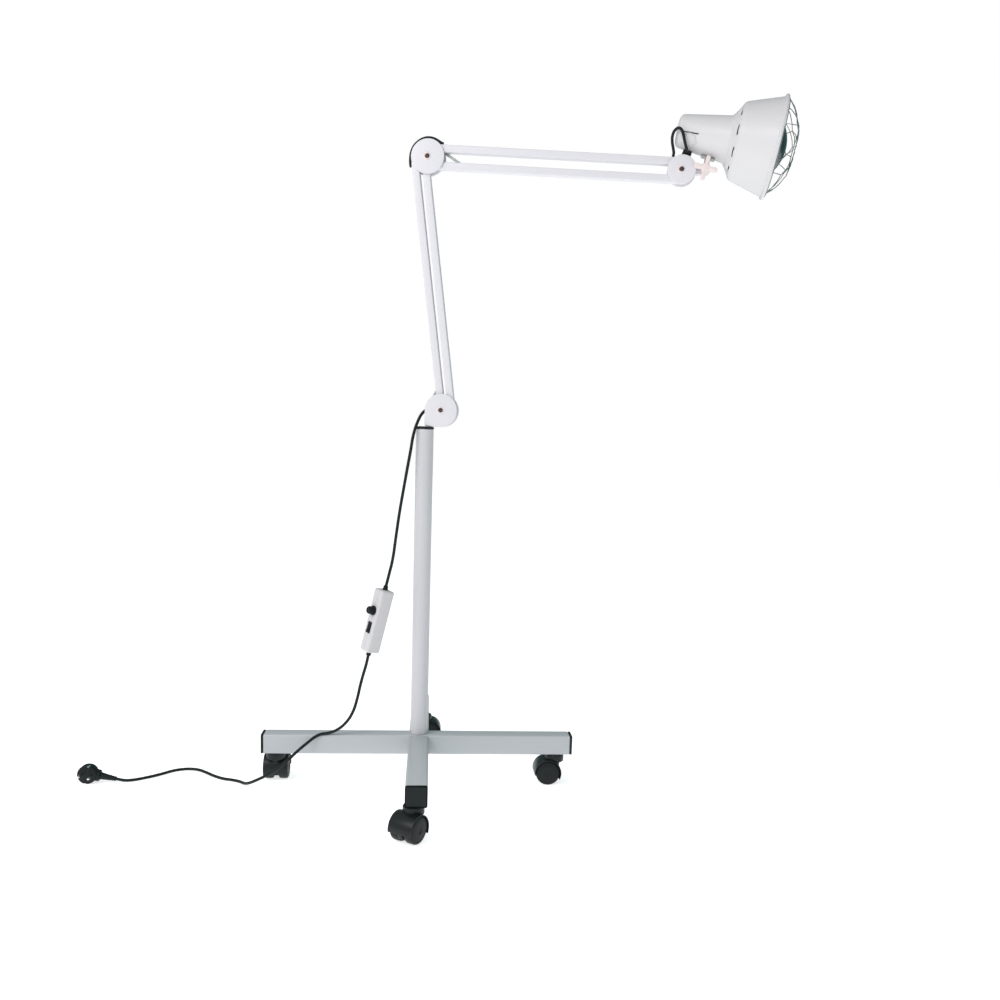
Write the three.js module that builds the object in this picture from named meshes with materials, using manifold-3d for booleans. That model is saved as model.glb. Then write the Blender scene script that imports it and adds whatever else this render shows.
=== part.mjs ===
// Infrared heat therapy lamp on a wheeled cross, with a two-part parallel arm.
// Millimetres, +Z up, +X to the right along the cross tube, +Y away from the viewer.
import * as THREE from "three";
import { mergeVertices } from "three/addons/utils/BufferGeometryUtils.js";
import Module from "manifold-3d";

const wasm = await Module();
wasm.setup();

// Gaps: between still pieces, beside moving pieces, and how far a cut runs past its work
const seatGap = 0.3;
const runningGap = 0.5;
const cutOverrun = 2;

// Base
const legTube = 40;
const legWall = 2;
const legCornerRadius = 4;
const crossSpan = 636;
const legUndersideHeight = 64;
const capThickness = 3;
const capShankDepth = 12;
const capCornerCut = 5;

// Casters
const wheelDiameter = 50;
const wheelWidth = 19;
const wheelChamfer = 3;
const wheelPairWidth = 50;
const casterTrail = 22;
const casterInset = 26;
const hoodRadius = 27;
const hoodWidth = 10;
const hoodWall = 3;
const hoodTurretRadius = 11;
const hoodTurretTop = 60;
const stemDiameter = 10;
const stemReach = 20;
const axleDiameter = 6;
const hoodWebTurns = { from: -0.35, to: 2.35 };
const hoodFenderTurns = { from: 0.1, to: 2.3 };
const hoodFootShare = 0.45;
const wheelRecessShares = { edge: 0.55, floor: 0.5 };
const casterTurnDegrees = { right: 180, left: 90, front: -125, rear: 0 };

// Pole and collar
const poleDiameter = 35;
const poleWall = 2;
const poleTopHeight = 726;
const poleFootPlate = 5;
const poleBoltDiameter = 10;
const poleBoltHeadDiameter = 18;
const poleBoltHeadHeight = 6;
const poleBoltRise = 12;
const collarDiameter = 37;
const collarThickness = 5;
const collarRound = 2;
const collarWall = 1.5;
const collarSkirt = 22;

// Arm joints
const armSwivelDegrees = -12;
const lowerJointReach = 33.5;
const jointPlateDiameter = 64.6;
const headPlateDiameter = 53;
const plateThickness = 4;
const plateEdgeCut = 0.8;
const jointBoltDiameter = 8;
const boltHeadDiameter = 9.6;
const boltHeadHeight = 2.4;
const boltNutDiameter = 13;
const boltNutHeight = 5;
const pinDiameter = 5;
const lowerPinRise = 16;
const lowerPinLeft = 2;
const lowerPinSpacing = 20.2;
const elbowPinDrop = 12;
const elbowPinRight = 21;
const elbowPinLeft = 25.4;
const upperPinSpacing = 31.6;
const headPinLeft = 8;

// Swivel stem
const spigotLength = 60;
const blockTopDrop = 9;
const blockRight = 18;
const blockCornerCut = 12;
const blockBossRadius = 9;
const blockToeShare = 1 / 3;
const bossTopShare = 3 / 4;
const bossFootShare = 3 / 2;

// Arm tubes
const barSize = 14;
const barWall = 1.5;
const lowerBarLength = 454.5;
const lowerBarLeanDegrees = 7.57;
const upperBarLength = 452.8;
const upperBarDropDegrees = 3.4;

// Balance links and springs
const linkWidth = 5;
const linkThickness = 2.5;
const linkPlaneOffset = 3;
const linkSlotClearance = 0.6;
const upperLinkLength = 53.1;
const upperLinkDegrees = 30;
const lowerLinkLength = 30.4;
const lowerLinkDegrees = 35;
const lowerLinkLeft = 24;
const lowerLinkRise = 15;
const upperSlot = { from: 4, to: 74 };
const lowerSlot = { from: -9, to: 38 };
const topBarSlot = { from: 4, to: 22 };
const springLength = 130;
const springStart = 100;

// Head joint and clamp
const knuckleReach = 42.7;
const knuckleThickness = 10;
const knuckleHubRadius = 8;
const knucklePivotRadius = 9;
const pivotBoltDiameter = 6;
const forkWall = 2.5;
const forkLegWidth = 10;
const forkPlateLength = 26;
const knobHubDiameter = 17;
const knobWingReach = 22;
const knobWingWidth = 8;
const knobThickness = 11;
const knobBoltReach = 4.5;
const knobTurnDegrees = 14;

// Lamp head
const headTiltDegrees = 10.4;
const pivotBehindRim = 117.3;
const pivotBelowAxis = 61;
const shellWall = 1.5;
const rimDiameter = 180.8;
const rimLip = 3;
const rimLipDepth = 5;
const mouthDiameter = 170.4;
const mouthDepth = 7;
const shoulderDiameter = 136.4;
const shoulderDepth = 71;
const shoulderRound = 4;
const neckFrontDiameter = 81;
const neckFrontDepth = 91;
const neckBackDiameter = 58;
const neckEndRound = 8;
const ventCount = 10;
const ventLength = 19;
const ventWidth = 4.5;
const louvreLength = 30;
const louvreWidth = 2.2;
const louvreDepth = 173;
const louvreRise = -9;

// Gland, socket, bulb and guard
const glandLength = 14;
const glandWidth = 12;
const glandHeight = 10;
const glandBehindRim = 157;
const socketDiameter = 40;
const socketFaceDepth = 128;
const socketLength = 54.2;
const socketBore = 28;
const socketBoreDepth = 26;
const capDiameter = 26;
const bulbDiameter = 125;
const bulbApex = 18;
const bulbEquatorDepth = 22;
const bulbFacePower = 1.5;
const bulbShoulderDiameter = 115.5;
const bulbShoulderDepth = 37.6;
const bulbNeckDiameter = 38;
const bulbSeatClearance = 4;
const bulbCapLength = 28.5;
const bulbCapShoulder = 9.5;
const bulbContactDiameter = 13;
const bulbContactHeight = 1.6;
const bulbWall = 1.2;
const guardWire = 2;
const guardSeatDiameter = 168;
const guardMiddleDiameter = 104;
const guardInnerDiameter = 44;
const guardMiddleDepth = 27;
const guardInnerDepth = 36;
const guardPoints = 8;

// Leads, cord and box
const leadDiameter = 5.4;
const leadStepLength = 8.1;
const cordDiameter = 6;
const cordSides = 8;
const cordStepLength = 15;
const boxWidth = 30;
const boxLength = 129;
const boxWall = 2;
const boxCornerRadius = 4;
const boxCentre = [-87.5, -27, 343];
const boxLeanDegrees = 13.3;
const boxTurnDegrees = 37;
const knobDiameter = 20;
const knobHeight = 11;
const knobShaftDiameter = 6;
const knobPlace = 20;
const rockerLength = 21;
const rockerWidth = 10;
const rockerProud = 1.25;
const rockerDepthInside = 3;
const rockerPlace = -15;
const rockerTurnDegrees = 6;
const bushDiameter = 12;
const bushLength = 9;
const plugDiameter = 38;
const plugThickness = 24;
const plugPinDiameter = 4.8;
const plugPinLength = 19;
const plugPinSpacing = 19;
const plugReliefStart = 15.2;
const plugReliefLength = 40;
const plugReliefRoot = 17;
const plugReliefTip = 9;
const plugCentre = [-660, -11, 19.3];
const plugTurnDegrees = 12;

// Cord and lead routes, chosen by hand: the two cords in the pole's own frame,
// the head lead from the centre of the head joint, and the elbow lead from that
// of the elbow as pairs across and up
const upperCordRoute = [
  [17.3, -6.6, 768], [8.5, -4.8, 767], [-0.4, -3.2, 762.6], [-7.6, -4.4, 754.5],
  [-13.2, -9.4, 743], [-18.9, -14.5, 727], [-23.3, -19, 708], [-26.4, -20, 687], [-33, -22, 647],
  [-39.6, -23.5, 606], [-46, -24.5, 565], [-52.5, -25.5, 515], [-59, -26.5, 465],
  [-66, -27, 434], [-70.53, -27, 414.82],
];
const lowerCordRoute = [
  [-104.48, -27, 271.18], [-108.5, -27, 252], [-114, -26.5, 232], [-119.5, -26, 210], [-125.5, -25.5, 182],
  [-134.5, -24, 153], [-148, -21.8, 131], [-166, -19, 115], [-185, -17.6, 107.5],
  [-198, -20.3, 106.1], [-209, -24, 101.4], [-222, -31, 92.5], [-240, -42.5, 79], [-258, -54, 63.5],
  [-277, -62, 48], [-300, -62.5, 33.5], [-322, -55, 20.5], [-338, -42, 10.5],
  [-350, -27, 4.8], [-362, -13, 3.3], [-378, -3.5, 3.2], [-397, 4, 3.2], [-420, 21, 3.2],
  [-443, 44, 3.2], [-461, 59, 3.2], [-478, 64.5, 3.2], [-495, 62, 3.2], [-510, 53, 3.4],
  [-527, 35, 3.2], [-543, 19, 3.2], [-558, 7, 3.2], [-573, -3.5, 3.4], [-589, -10, 4.4],
  [-605.66, -11, 7.75],
];
const headLeadRoute = [
  [-17, -2.5, 24.6], [-16, -4, 30.4], [-17.6, -8, 38], [-20, -14, 47], [-20, -22, 57],
  [-15.5, -30, 63.6], [-9.2, -35.5, 64.4], [-3.8, -37.2, 59], [-0.8, -37.2, 50.5],
  [1.8, -34, 42], [5, -26.5, 34.9], [7.6, -16, 31], [7.9, -6.4, 30],
];
const elbowLeadRoute = [
  [-34.6, -17], [-35.2, -14.2], [-35.9, -7], [-35.9, 0], [-35, 7.5], [-32.6, 15.3], [-28.2, 23],
  [-21.8, 29.4], [-14, 34], [-5, 36.5], [3, 36.5], [11, 34.4], [18.4, 30.6], [24.4, 26.8], [28.4, 25.4],
];

// Sizes worked out from the ones above
const legHeight = legUndersideHeight + legTube;
const legHalf = crossSpan / 2;
const casterReach = legHalf - casterInset;
const poleRadius = poleDiameter / 2;
const poleBore = poleRadius - poleWall;
const plateInner = barSize / 2 + runningGap;
const plateOuter = plateInner + plateThickness;
const jointPlateRadius = jointPlateDiameter / 2;
const headPlateRadius = headPlateDiameter / 2;
const collarTop = poleTopHeight + seatGap + collarThickness;
const lowerJointHeight = collarTop + seatGap + jointPlateRadius;
const lowerLean = THREE.MathUtils.degToRad(lowerBarLeanDegrees);
const upperDrop = THREE.MathUtils.degToRad(upperBarDropDegrees);
const headTilt = THREE.MathUtils.degToRad(headTiltDegrees);
const neckBackDepth = socketFaceDepth + socketLength + seatGap + shellWall - neckEndRound;
const bulbCapEnd = socketFaceDepth + socketBoreDepth - bulbSeatClearance;
const bulbCapStart = bulbCapEnd - bulbCapLength;
const bulbNeckDepth = bulbCapStart - bulbCapShoulder;
const halfTurn = Math.PI;
const quarterTurn = Math.PI / 2;

const lowerHub = new THREE.Vector2(lowerJointReach, lowerJointHeight);
const leftPin = new THREE.Vector2(-lowerPinLeft, lowerPinRise);
const rightPin = new THREE.Vector2(lowerPinSpacing - lowerPinLeft, lowerPinRise);
const lowerSpan = new THREE.Vector2(-Math.sin(lowerLean), Math.cos(lowerLean)).multiplyScalar(lowerBarLength);
const elbowLeftPin = new THREE.Vector2(-elbowPinLeft, -elbowPinDrop);
const elbowRightPin = new THREE.Vector2(lowerPinSpacing - elbowPinLeft, -elbowPinDrop);
const elbowHub = lowerHub.clone().add(leftPin).add(lowerSpan).sub(elbowLeftPin);
const topPin = new THREE.Vector2(elbowPinRight, upperPinSpacing / 2);
const bottomPin = new THREE.Vector2(elbowPinRight, -upperPinSpacing / 2);
const upperSpan = new THREE.Vector2(Math.cos(upperDrop), -Math.sin(upperDrop)).multiplyScalar(upperBarLength);
const headTopPin = new THREE.Vector2(-headPinLeft, upperPinSpacing / 2);
const headBottomPin = new THREE.Vector2(-headPinLeft, -upperPinSpacing / 2);
const headHub = elbowHub.clone().add(topPin).add(upperSpan).sub(headTopPin);
const headPivot = new THREE.Vector2(headHub.x + knuckleReach, headHub.y);
const linkPin = new THREE.Vector2(-lowerLinkLeft, lowerLinkRise);

// Materials
function paint(color, roughness, metalness = 0) {
  return new THREE.MeshStandardMaterial({ color, roughness, metalness });
}
const greyPaint = paint(0xbcc2ca, 0.45);
const polePaint = paint(0xd6d7dc, 0.4);
const armPaint = paint(0xe3e2e8, 0.45);
const shadePaint = paint(0xe9e9ea, 0.4);
const blackPlastic = paint(0x161a1b, 0.5);
const blackRubber = paint(0x1a1f20, 0.7);
const darkSteel = paint(0x5a5552, 0.4, 0.9);
const zincSteel = paint(0x9a9a98, 0.35, 0.9);
const boxPlastic = paint(0xd8d6d8, 0.5);
const knobPlastic = paint(0xe6dcdc, 0.45);
const ceramic = paint(0xeee9df, 0.35);
const bulbGlass = paint(0x2a2426, 0.15);
const guardWireMetal = paint(0x7d8a86, 0.4, 0.8);

// Solids: geometry to manifold and back
function solidOf(geometry) {
  const bare = geometry.index ? geometry.toNonIndexed() : geometry.clone();
  bare.deleteAttribute("normal");
  bare.deleteAttribute("uv");
  const merged = mergeVertices(bare, 1e-4);
  return new wasm.Manifold(new wasm.Mesh({
    numProp: 3,
    vertProperties: merged.attributes.position.array,
    triVerts: new Uint32Array(merged.index.array),
  }));
}

function geometryOf(solid) {
  const mesh = solid.getMesh();
  const geometry = new THREE.BufferGeometry();
  const places = new Float32Array(mesh.numVert * 3);
  for (let i = 0; i < mesh.numVert; i += 1) {
    const start = i * mesh.numProp;
    places.set(mesh.vertProperties.subarray(start, start + 3), i * 3);
  }
  geometry.setAttribute("position", new THREE.BufferAttribute(places, 3));
  geometry.setIndex(new THREE.BufferAttribute(new Uint32Array(mesh.triVerts), 1));
  return geometry;
}

function join(first, ...others) {
  return others.reduce((sum, other) => sum.add(solidOf(other)), solidOf(first));
}

function carve(solid, ...tools) {
  return tools.reduce((rest, tool) => rest.subtract(solidOf(tool)), solid);
}

// Simple shapes
function boxAt(x0, x1, y0, y1, z0, z1) {
  const box = new THREE.BoxGeometry(x1 - x0, y1 - y0, z1 - z0);
  return box.translate((x0 + x1) / 2, (y0 + y1) / 2, (z0 + z1) / 2);
}

function rodAlongY(radius, y0, y1, sides, x = 0, z = 0) {
  return new THREE.CylinderGeometry(radius, radius, y1 - y0, sides).translate(x, (y0 + y1) / 2, z);
}

function rodAlongZ(radius, z0, z1, sides, x = 0, y = 0) {
  const rod = new THREE.CylinderGeometry(radius, radius, z1 - z0, sides).rotateX(quarterTurn);
  return rod.translate(x, y, (z0 + z1) / 2);
}

function rodAlongX(radius, x0, x1, sides, y = 0, z = 0) {
  const rod = new THREE.CylinderGeometry(radius, radius, x1 - x0, sides).rotateZ(quarterTurn);
  return rod.translate((x0 + x1) / 2, y, z);
}

// Turned about Z from [radius, height] pairs, counted so that the outside faces out
function turnedAboutZ(profile, sides) {
  const points = profile.map(([radius, height]) => new THREE.Vector2(radius, height));
  return new THREE.LatheGeometry(points, sides).rotateX(quarterTurn);
}

// An outline in X and Z, extruded from y0 to y1
function plateInXZ(shape, y0, y1, curveSegments = 12) {
  const plate = new THREE.ExtrudeGeometry(shape, { depth: y1 - y0, bevelEnabled: false, curveSegments });
  return plate.rotateX(quarterTurn).translate(0, y1, 0);
}

function stadium(length, radius) {
  const shape = new THREE.Shape();
  shape.moveTo(0, -radius);
  shape.lineTo(length, -radius);
  shape.absarc(length, 0, radius, -quarterTurn, quarterTurn, false);
  shape.lineTo(0, radius);
  shape.absarc(0, 0, radius, quarterTurn, quarterTurn + halfTurn, false);
  return shape;
}

function tubeAlong(route, diameter, stepLength = cordStepLength) {
  const curve = new THREE.CatmullRomCurve3(route.map((place) => new THREE.Vector3(...place)));
  const ring = new THREE.Shape();
  for (let i = 0; i < cordSides; i += 1) {
    const angle = (i / cordSides) * 2 * halfTurn;
    const x = (Math.cos(angle) * diameter) / 2;
    const y = (Math.sin(angle) * diameter) / 2;
    if (i === 0) ring.moveTo(x, y);
    else ring.lineTo(x, y);
  }
  ring.closePath();
  const steps = Math.round(curve.getLength() / stepLength);
  return new THREE.ExtrudeGeometry(ring, { steps, bevelEnabled: false, extrudePath: curve });
}

function piece(parent, name, shape, material) {
  const geometry = shape.isBufferGeometry ? shape : geometryOf(shape);
  const mesh = new THREE.Mesh(geometry, material);
  mesh.name = name;
  parent.add(mesh);
  return mesh;
}

function groupAt(parent, x, y, z) {
  const group = new THREE.Group();
  group.position.set(x, y, z);
  parent.add(group);
  return group;
}

// Base: a square tube through, two half tubes against it, and a cap in each end
function roundedSquare(size, corner) {
  const half = size / 2;
  const shape = new THREE.Shape();
  const corners = [[half, half, 0], [-half, half, 1], [-half, -half, 2], [half, -half, 3]];
  shape.moveTo(half, half - corner);
  for (const [x, y, turn] of corners) {
    const cx = x - Math.sign(x) * corner;
    const cy = y - Math.sign(y) * corner;
    shape.absarc(cx, cy, corner, turn * quarterTurn, (turn + 1) * quarterTurn, false);
  }
  shape.closePath();
  return shape;
}

function squareTube(length) {
  const shape = roundedSquare(legTube, legCornerRadius);
  shape.holes.push(roundedSquare(legTube - 2 * legWall, legCornerRadius - legWall));
  const tube = new THREE.ExtrudeGeometry(shape, { depth: length, bevelEnabled: false, curveSegments: 3 });
  return tube.translate(0, 0, -length / 2);
}

function endCap() {
  const half = legTube / 2;
  const shankHalf = half - legWall - seatGap;
  const face = new THREE.ExtrudeGeometry(roundedSquare(legTube, legCornerRadius), {
    depth: capThickness,
    bevelEnabled: false,
    curveSegments: 3,
  });
  const shank = boxAt(-shankHalf, shankHalf, -shankHalf, shankHalf, -capShankDepth, 0);
  const corner = shankHalf - capCornerCut;
  const trims = [[1, 1], [1, -1], [-1, 1], [-1, -1]].map(([sx, sy]) => boxAt(
    Math.min(sx * corner, sx * half),
    Math.max(sx * corner, sx * half),
    Math.min(sy * corner, sy * half),
    Math.max(sy * corner, sy * half),
    -capShankDepth - cutOverrun,
    -seatGap,
  ));
  return carve(solidOf(shank), ...trims).add(solidOf(face));
}

function addBase(lamp) {
  const base = groupAt(lamp, 0, 0, legUndersideHeight + legTube / 2);
  const tubeSpan = crossSpan - 2 * (capThickness + seatGap);
  const sideReach = legTube / 2 + seatGap;
  const sideLength = tubeSpan / 2 - sideReach;
  const boltHole = rodAlongZ(poleBoltDiameter / 2 + seatGap, -legTube, legTube, 16);
  const stemHoles = [-1, 1].map((side) => rodAlongZ(
    stemDiameter / 2 + seatGap, -legTube, 0, 16, side * casterReach, 0,
  ));
  const through = squareTube(tubeSpan).rotateY(quarterTurn);
  piece(base, "cross_tube", carve(solidOf(through), boltHole, ...stemHoles), greyPaint);
  for (const [name, side] of [["front_leg", -1], ["rear_leg", 1]]) {
    const leg = squareTube(sideLength).rotateX(quarterTurn);
    leg.translate(0, side * (sideReach + sideLength / 2), 0);
    const hole = rodAlongZ(stemDiameter / 2 + seatGap, -legTube, 0, 16, 0, side * casterReach);
    piece(base, name, carve(solidOf(leg), hole), greyPaint);
  }
  const turns = { right: 0, rear: 1, left: 2, front: 3 };
  for (const [name, turn] of Object.entries(turns)) {
    const cap = geometryOf(endCap()).rotateY(quarterTurn);
    cap.translate(legHalf - capThickness, 0, 0).rotateZ(turn * quarterTurn);
    piece(base, "end_cap_" + name, cap, blackPlastic);
  }
}

// A twin-wheel caster: the frame is at the swivel axis on the floor, trailing along +X
function casterHood() {
  const wheelRadius = wheelDiameter / 2;
  const centre = [casterTrail, wheelRadius];
  const web = new THREE.Shape();
  const webStart = quarterTurn * hoodWebTurns.from;
  const webEnd = quarterTurn * hoodWebTurns.to;
  web.absarc(centre[0], centre[1], hoodRadius, webStart, webEnd, false);
  web.lineTo(centre[0] - hoodRadius * hoodFootShare, centre[1]);
  web.lineTo(centre[0] + hoodRadius * hoodFootShare, centre[1]);
  web.closePath();
  const fender = new THREE.Shape();
  const start = quarterTurn * hoodFenderTurns.from;
  const end = quarterTurn * hoodFenderTurns.to;
  fender.absarc(centre[0], centre[1], hoodRadius + hoodWall, start, end, false);
  fender.absarc(centre[0], centre[1], hoodRadius, end, start, true);
  fender.closePath();
  const halfPair = wheelPairWidth / 2;
  const axleHole = rodAlongY(axleDiameter / 2 + seatGap, -wheelPairWidth, wheelPairWidth, 16, ...centre);
  const turret = rodAlongZ(hoodTurretRadius, wheelDiameter + hoodWall, hoodTurretTop, 14);
  const gussetTop = wheelDiameter + 2 * hoodWall;
  const halfWeb = hoodWidth / 2;
  const gusset = boxAt(-hoodTurretRadius / 2, casterTrail, -halfWeb, halfWeb, wheelRadius, gussetTop);
  const stem = rodAlongZ(stemDiameter / 2, hoodTurretTop, legUndersideHeight + stemReach, 16);
  const neck = rodAlongZ(hoodTurretRadius, hoodTurretTop - hoodWall, legUndersideHeight - seatGap, 14);
  const body = join(
    plateInXZ(web, -halfWeb, halfWeb, 8),
    plateInXZ(fender, -halfPair, halfPair, 9),
    turret,
    neck,
    gusset,
    stem,
  );
  return carve(body, axleHole);
}

function casterWheel(side, withAxle) {
  const radius = wheelDiameter / 2;
  const inner = hoodWidth / 2 + runningGap;
  const outer = inner + wheelWidth;
  const profile = [
    [0, inner], [radius - wheelChamfer, inner], [radius, inner + wheelChamfer],
    [radius, outer - wheelChamfer], [radius - wheelChamfer, outer],
    [radius * wheelRecessShares.edge, outer],
    [radius * wheelRecessShares.floor, outer - wheelChamfer], [0, outer - wheelChamfer],
  ];
  const wheel = turnedAboutZ(profile, 20).rotateX(quarterTurn);
  if (side > 0) wheel.rotateZ(halfTurn);
  const y0 = -inner - wheelWidth + 2 * wheelChamfer;
  const y1 = -y0;
  const shape = withAxle
    ? join(wheel, rodAlongY(axleDiameter / 2, y0, y1, 16))
    : carve(solidOf(wheel), rodAlongY(axleDiameter / 2 + seatGap, y0 - seatGap, y1 + seatGap, 16));
  return geometryOf(shape).translate(casterTrail, 0, radius);
}

function addCasters(lamp) {
  const places = { right: [1, 0], left: [-1, 0], front: [0, -1], rear: [0, 1] };
  for (const [name, [x, y]] of Object.entries(places)) {
    const caster = groupAt(lamp, x * casterReach, y * casterReach, 0);
    caster.name = "caster_" + name + "_swivel";
    caster.rotation.z = THREE.MathUtils.degToRad(casterTurnDegrees[name]);
    const axle = groupAt(caster, casterTrail, 0, wheelDiameter / 2);
    axle.name = "caster_" + name + "_axle";
    piece(caster, "caster_" + name + "_hood", casterHood(), blackPlastic);
    piece(caster, "caster_" + name + "_wheel_axle_side", casterWheel(-1, true), blackRubber);
    piece(caster, "caster_" + name + "_wheel_far_side", casterWheel(1, false), blackRubber);
  }
}

// Pole: a tube with a welded foot plate, held by a bolt from below
function addPole(lamp) {
  const foot = legHeight + seatGap;
  const tube = turnedAboutZ([
    [0, foot], [poleRadius, foot], [poleRadius, poleTopHeight], [poleBore, poleTopHeight],
    [poleBore, foot + poleFootPlate], [0, foot + poleFootPlate],
  ], 24);
  const plateTop = foot + poleFootPlate;
  const bore = rodAlongZ(poleBoltDiameter / 2 + seatGap, foot - cutOverrun, plateTop + cutOverrun, 16);
  piece(lamp, "pole", carve(solidOf(tube), bore), polePaint);

  const under = legUndersideHeight - seatGap;
  const head = rodAlongZ(poleBoltHeadDiameter / 2, under - poleBoltHeadHeight, under, 6);
  const nutBase = plateTop + seatGap;
  const shank = rodAlongZ(poleBoltDiameter / 2, under - poleBoltHeadHeight / 2, nutBase + poleBoltRise, 16);
  const nut = rodAlongZ(poleBoltHeadDiameter / 2, nutBase, nutBase + poleBoltHeadHeight, 6);
  piece(lamp, "pole_bolt", join(head, shank, nut), zincSteel);

  const seat = poleTopHeight + seatGap;
  const top = seat + collarThickness;
  const outer = collarDiameter / 2;
  const skirt = poleBore - seatGap;
  const bush = skirt - collarWall;
  const bottom = poleTopHeight - collarSkirt;
  piece(lamp, "collar_ring", turnedAboutZ([
    [bush, bottom], [skirt, bottom], [skirt, seat], [outer - collarRound, seat],
    [outer, seat + collarRound], [outer, top - collarRound], [outer - collarRound, top],
    [bush, top], [bush, bottom],
  ], 24), blackPlastic);
}

// Joint plates, pins and bolts; every joint frame has its origin at the plate centre
function roundPlate(radius) {
  const inner = plateInner;
  const outer = plateOuter;
  return turnedAboutZ([
    [0, inner], [radius, inner], [radius, outer - plateEdgeCut], [radius - plateEdgeCut, outer], [0, outer],
  ], 32).rotateX(quarterTurn);
}

function pinBetweenPlates([x, z]) {
  return rodAlongY(pinDiameter / 2, -plateInner + seatGap, plateInner + plateThickness / 2, 10, x, z);
}

function platePair(front, rear, pins) {
  const reach = plateOuter + cutOverrun;
  const hole = rodAlongY(jointBoltDiameter / 2 + seatGap, -reach, reach, 16);
  return [
    carve(front, hole),
    carve(pins.reduce((plate, pin) => plate.add(solidOf(pinBetweenPlates(pin))), rear), hole),
  ];
}

function jointBolt() {
  const front = -plateOuter - seatGap;
  const rear = plateOuter + seatGap;
  const head = boltHeadDiameter / 2;
  const shank = jointBoltDiameter / 2;
  const nut = boltNutDiameter / 2;
  const round = boltHeadHeight / 2;
  const bolt = turnedAboutZ([
    [0, -front], [head, -front], [head, -front + round],
    [head - round, -front + boltHeadHeight], [0, -front + boltHeadHeight],
  ], 20).rotateX(quarterTurn);
  const rod = rodAlongY(shank, front - round, rear + round, 16);
  const tail = rodAlongY(nut, rear, rear + boltNutHeight, 6);
  return join(bolt, rod, tail);
}

// The swivel stem, which turns in the collar and carries the lower joint
function lowerPlate(side) {
  const radius = jointPlateRadius;
  const shape = new THREE.Shape();
  shape.moveTo(-radius, -radius);
  shape.lineTo(0, -radius);
  shape.absarc(0, 0, radius, -quarterTurn, halfTurn, false);
  shape.closePath();
  const y0 = side < 0 ? -plateOuter : plateInner;
  return plateInXZ(shape, y0, y0 + plateThickness, 36);
}

function swivelStem() {
  const radius = jointPlateRadius;
  const half = plateInner - seatGap;
  const left = -radius + seatGap;
  const low = -radius;
  const bossTop = blockBossRadius * bossTopShare;
  const shape = new THREE.Shape();
  shape.moveTo(left, low);
  shape.lineTo(blockRight * blockToeShare, low);
  shape.lineTo(blockRight, low + blockCornerCut);
  shape.lineTo(blockRight, 0);
  shape.lineTo(blockBossRadius, bossTop);
  shape.lineTo(-blockBossRadius, bossTop);
  shape.lineTo(-blockBossRadius * bossFootShare, -blockTopDrop);
  shape.lineTo(left, -blockTopDrop);
  shape.closePath();
  const block = plateInXZ(shape, -half, half, 4);
  const bore = poleBore - seatGap - collarWall - seatGap;
  const spigot = rodAlongZ(bore, low - spigotLength, low + plateThickness, 28, -lowerJointReach, 0);
  const trim = boxAt(
    -lowerJointReach - poleDiameter,
    left,
    -poleDiameter,
    poleDiameter,
    low,
    low + plateThickness + cutOverrun,
  );
  const sideTrims = [-1, 1].map((side) => boxAt(
    -lowerJointReach - poleDiameter,
    0,
    Math.min(side * half, side * poleDiameter),
    Math.max(side * half, side * poleDiameter),
    low,
    low + plateThickness + cutOverrun,
  ));
  const hole = rodAlongY(jointBoltDiameter / 2 + seatGap, -plateOuter, plateOuter, 16);
  return carve(join(block, spigot), hole, trim, ...sideTrims);
}

function addLowerJoint(arm) {
  const joint = groupAt(arm, lowerHub.x, 0, lowerHub.y);
  piece(joint, "swivel_stem", swivelStem(), armPaint);
  const pins = [leftPin, rightPin, linkPin];
  const [front, rear] = platePair(solidOf(lowerPlate(-1)), solidOf(lowerPlate(1)), pins);
  piece(joint, "lower_joint_plate_front", front, armPaint);
  piece(joint, "lower_joint_plate_rear", rear, armPaint);
  piece(joint, "lower_joint_bolt", jointBolt(), darkSteel);
}

// Arm tubes: the frame is at the first pin, +X along the tube
function armTube(length, ...slots) {
  const radius = barSize / 2;
  const inner = radius - barWall;
  const outside = plateInXZ(stadium(length, radius), -radius, radius, 8);
  const hollow = boxAt(-radius - cutOverrun, length + radius + cutOverrun, -inner, inner, -inner, inner);
  const holes = [0, length].map((x) => rodAlongY(pinDiameter / 2 + seatGap, -barSize, barSize, 14, x, 0));
  const half = linkThickness / 2 + linkSlotClearance;
  const cuts = slots.map(({ from, to, side }) => boxAt(
    from,
    to,
    linkPlaneOffset - half,
    linkPlaneOffset + half,
    side > 0 ? 0 : -barSize,
    side > 0 ? barSize : 0,
  ));
  return carve(solidOf(outside), hollow, ...holes, ...cuts);
}

function flatLink(length) {
  const radius = linkWidth / 2;
  const y0 = linkPlaneOffset - linkThickness / 2;
  const strip = plateInXZ(stadium(length, radius), y0, y0 + linkThickness, 8);
  const eye = rodAlongY(pinDiameter / 2 + linkThickness, y0, y0 + linkThickness, 18);
  const hole = rodAlongY(pinDiameter / 2 + seatGap, -barSize, barSize, 14);
  return carve(join(strip, eye), hole);
}

function balanceSpring() {
  const radius = barSize / 2 - barWall - seatGap;
  return rodAlongX(radius, springStart, springStart + springLength, 12);
}

function addLowerArm(arm) {
  const lean = -(quarterTurn + lowerLean);
  const tubes = [
    ["lower_tube_left", leftPin, [{ ...lowerSlot, side: 1 }]],
    ["lower_tube_right", rightPin, []],
  ];
  for (const [name, pin, slots] of tubes) {
    const place = lowerHub.clone().add(pin);
    const tube = groupAt(arm, place.x, 0, place.y);
    tube.name = name + "_pivot";
    tube.rotation.y = lean;
    piece(tube, name, armTube(lowerBarLength, ...slots), armPaint);
    if (slots.length) piece(tube, "lower_balance_spring", balanceSpring(), zincSteel);
  }
  const place = lowerHub.clone().add(linkPin);
  const link = groupAt(arm, place.x, 0, place.y);
  link.name = "lower_link_pivot";
  link.rotation.y = lean + THREE.MathUtils.degToRad(lowerLinkDegrees);
  piece(link, "lower_link", flatLink(lowerLinkLength), zincSteel);
}

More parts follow.
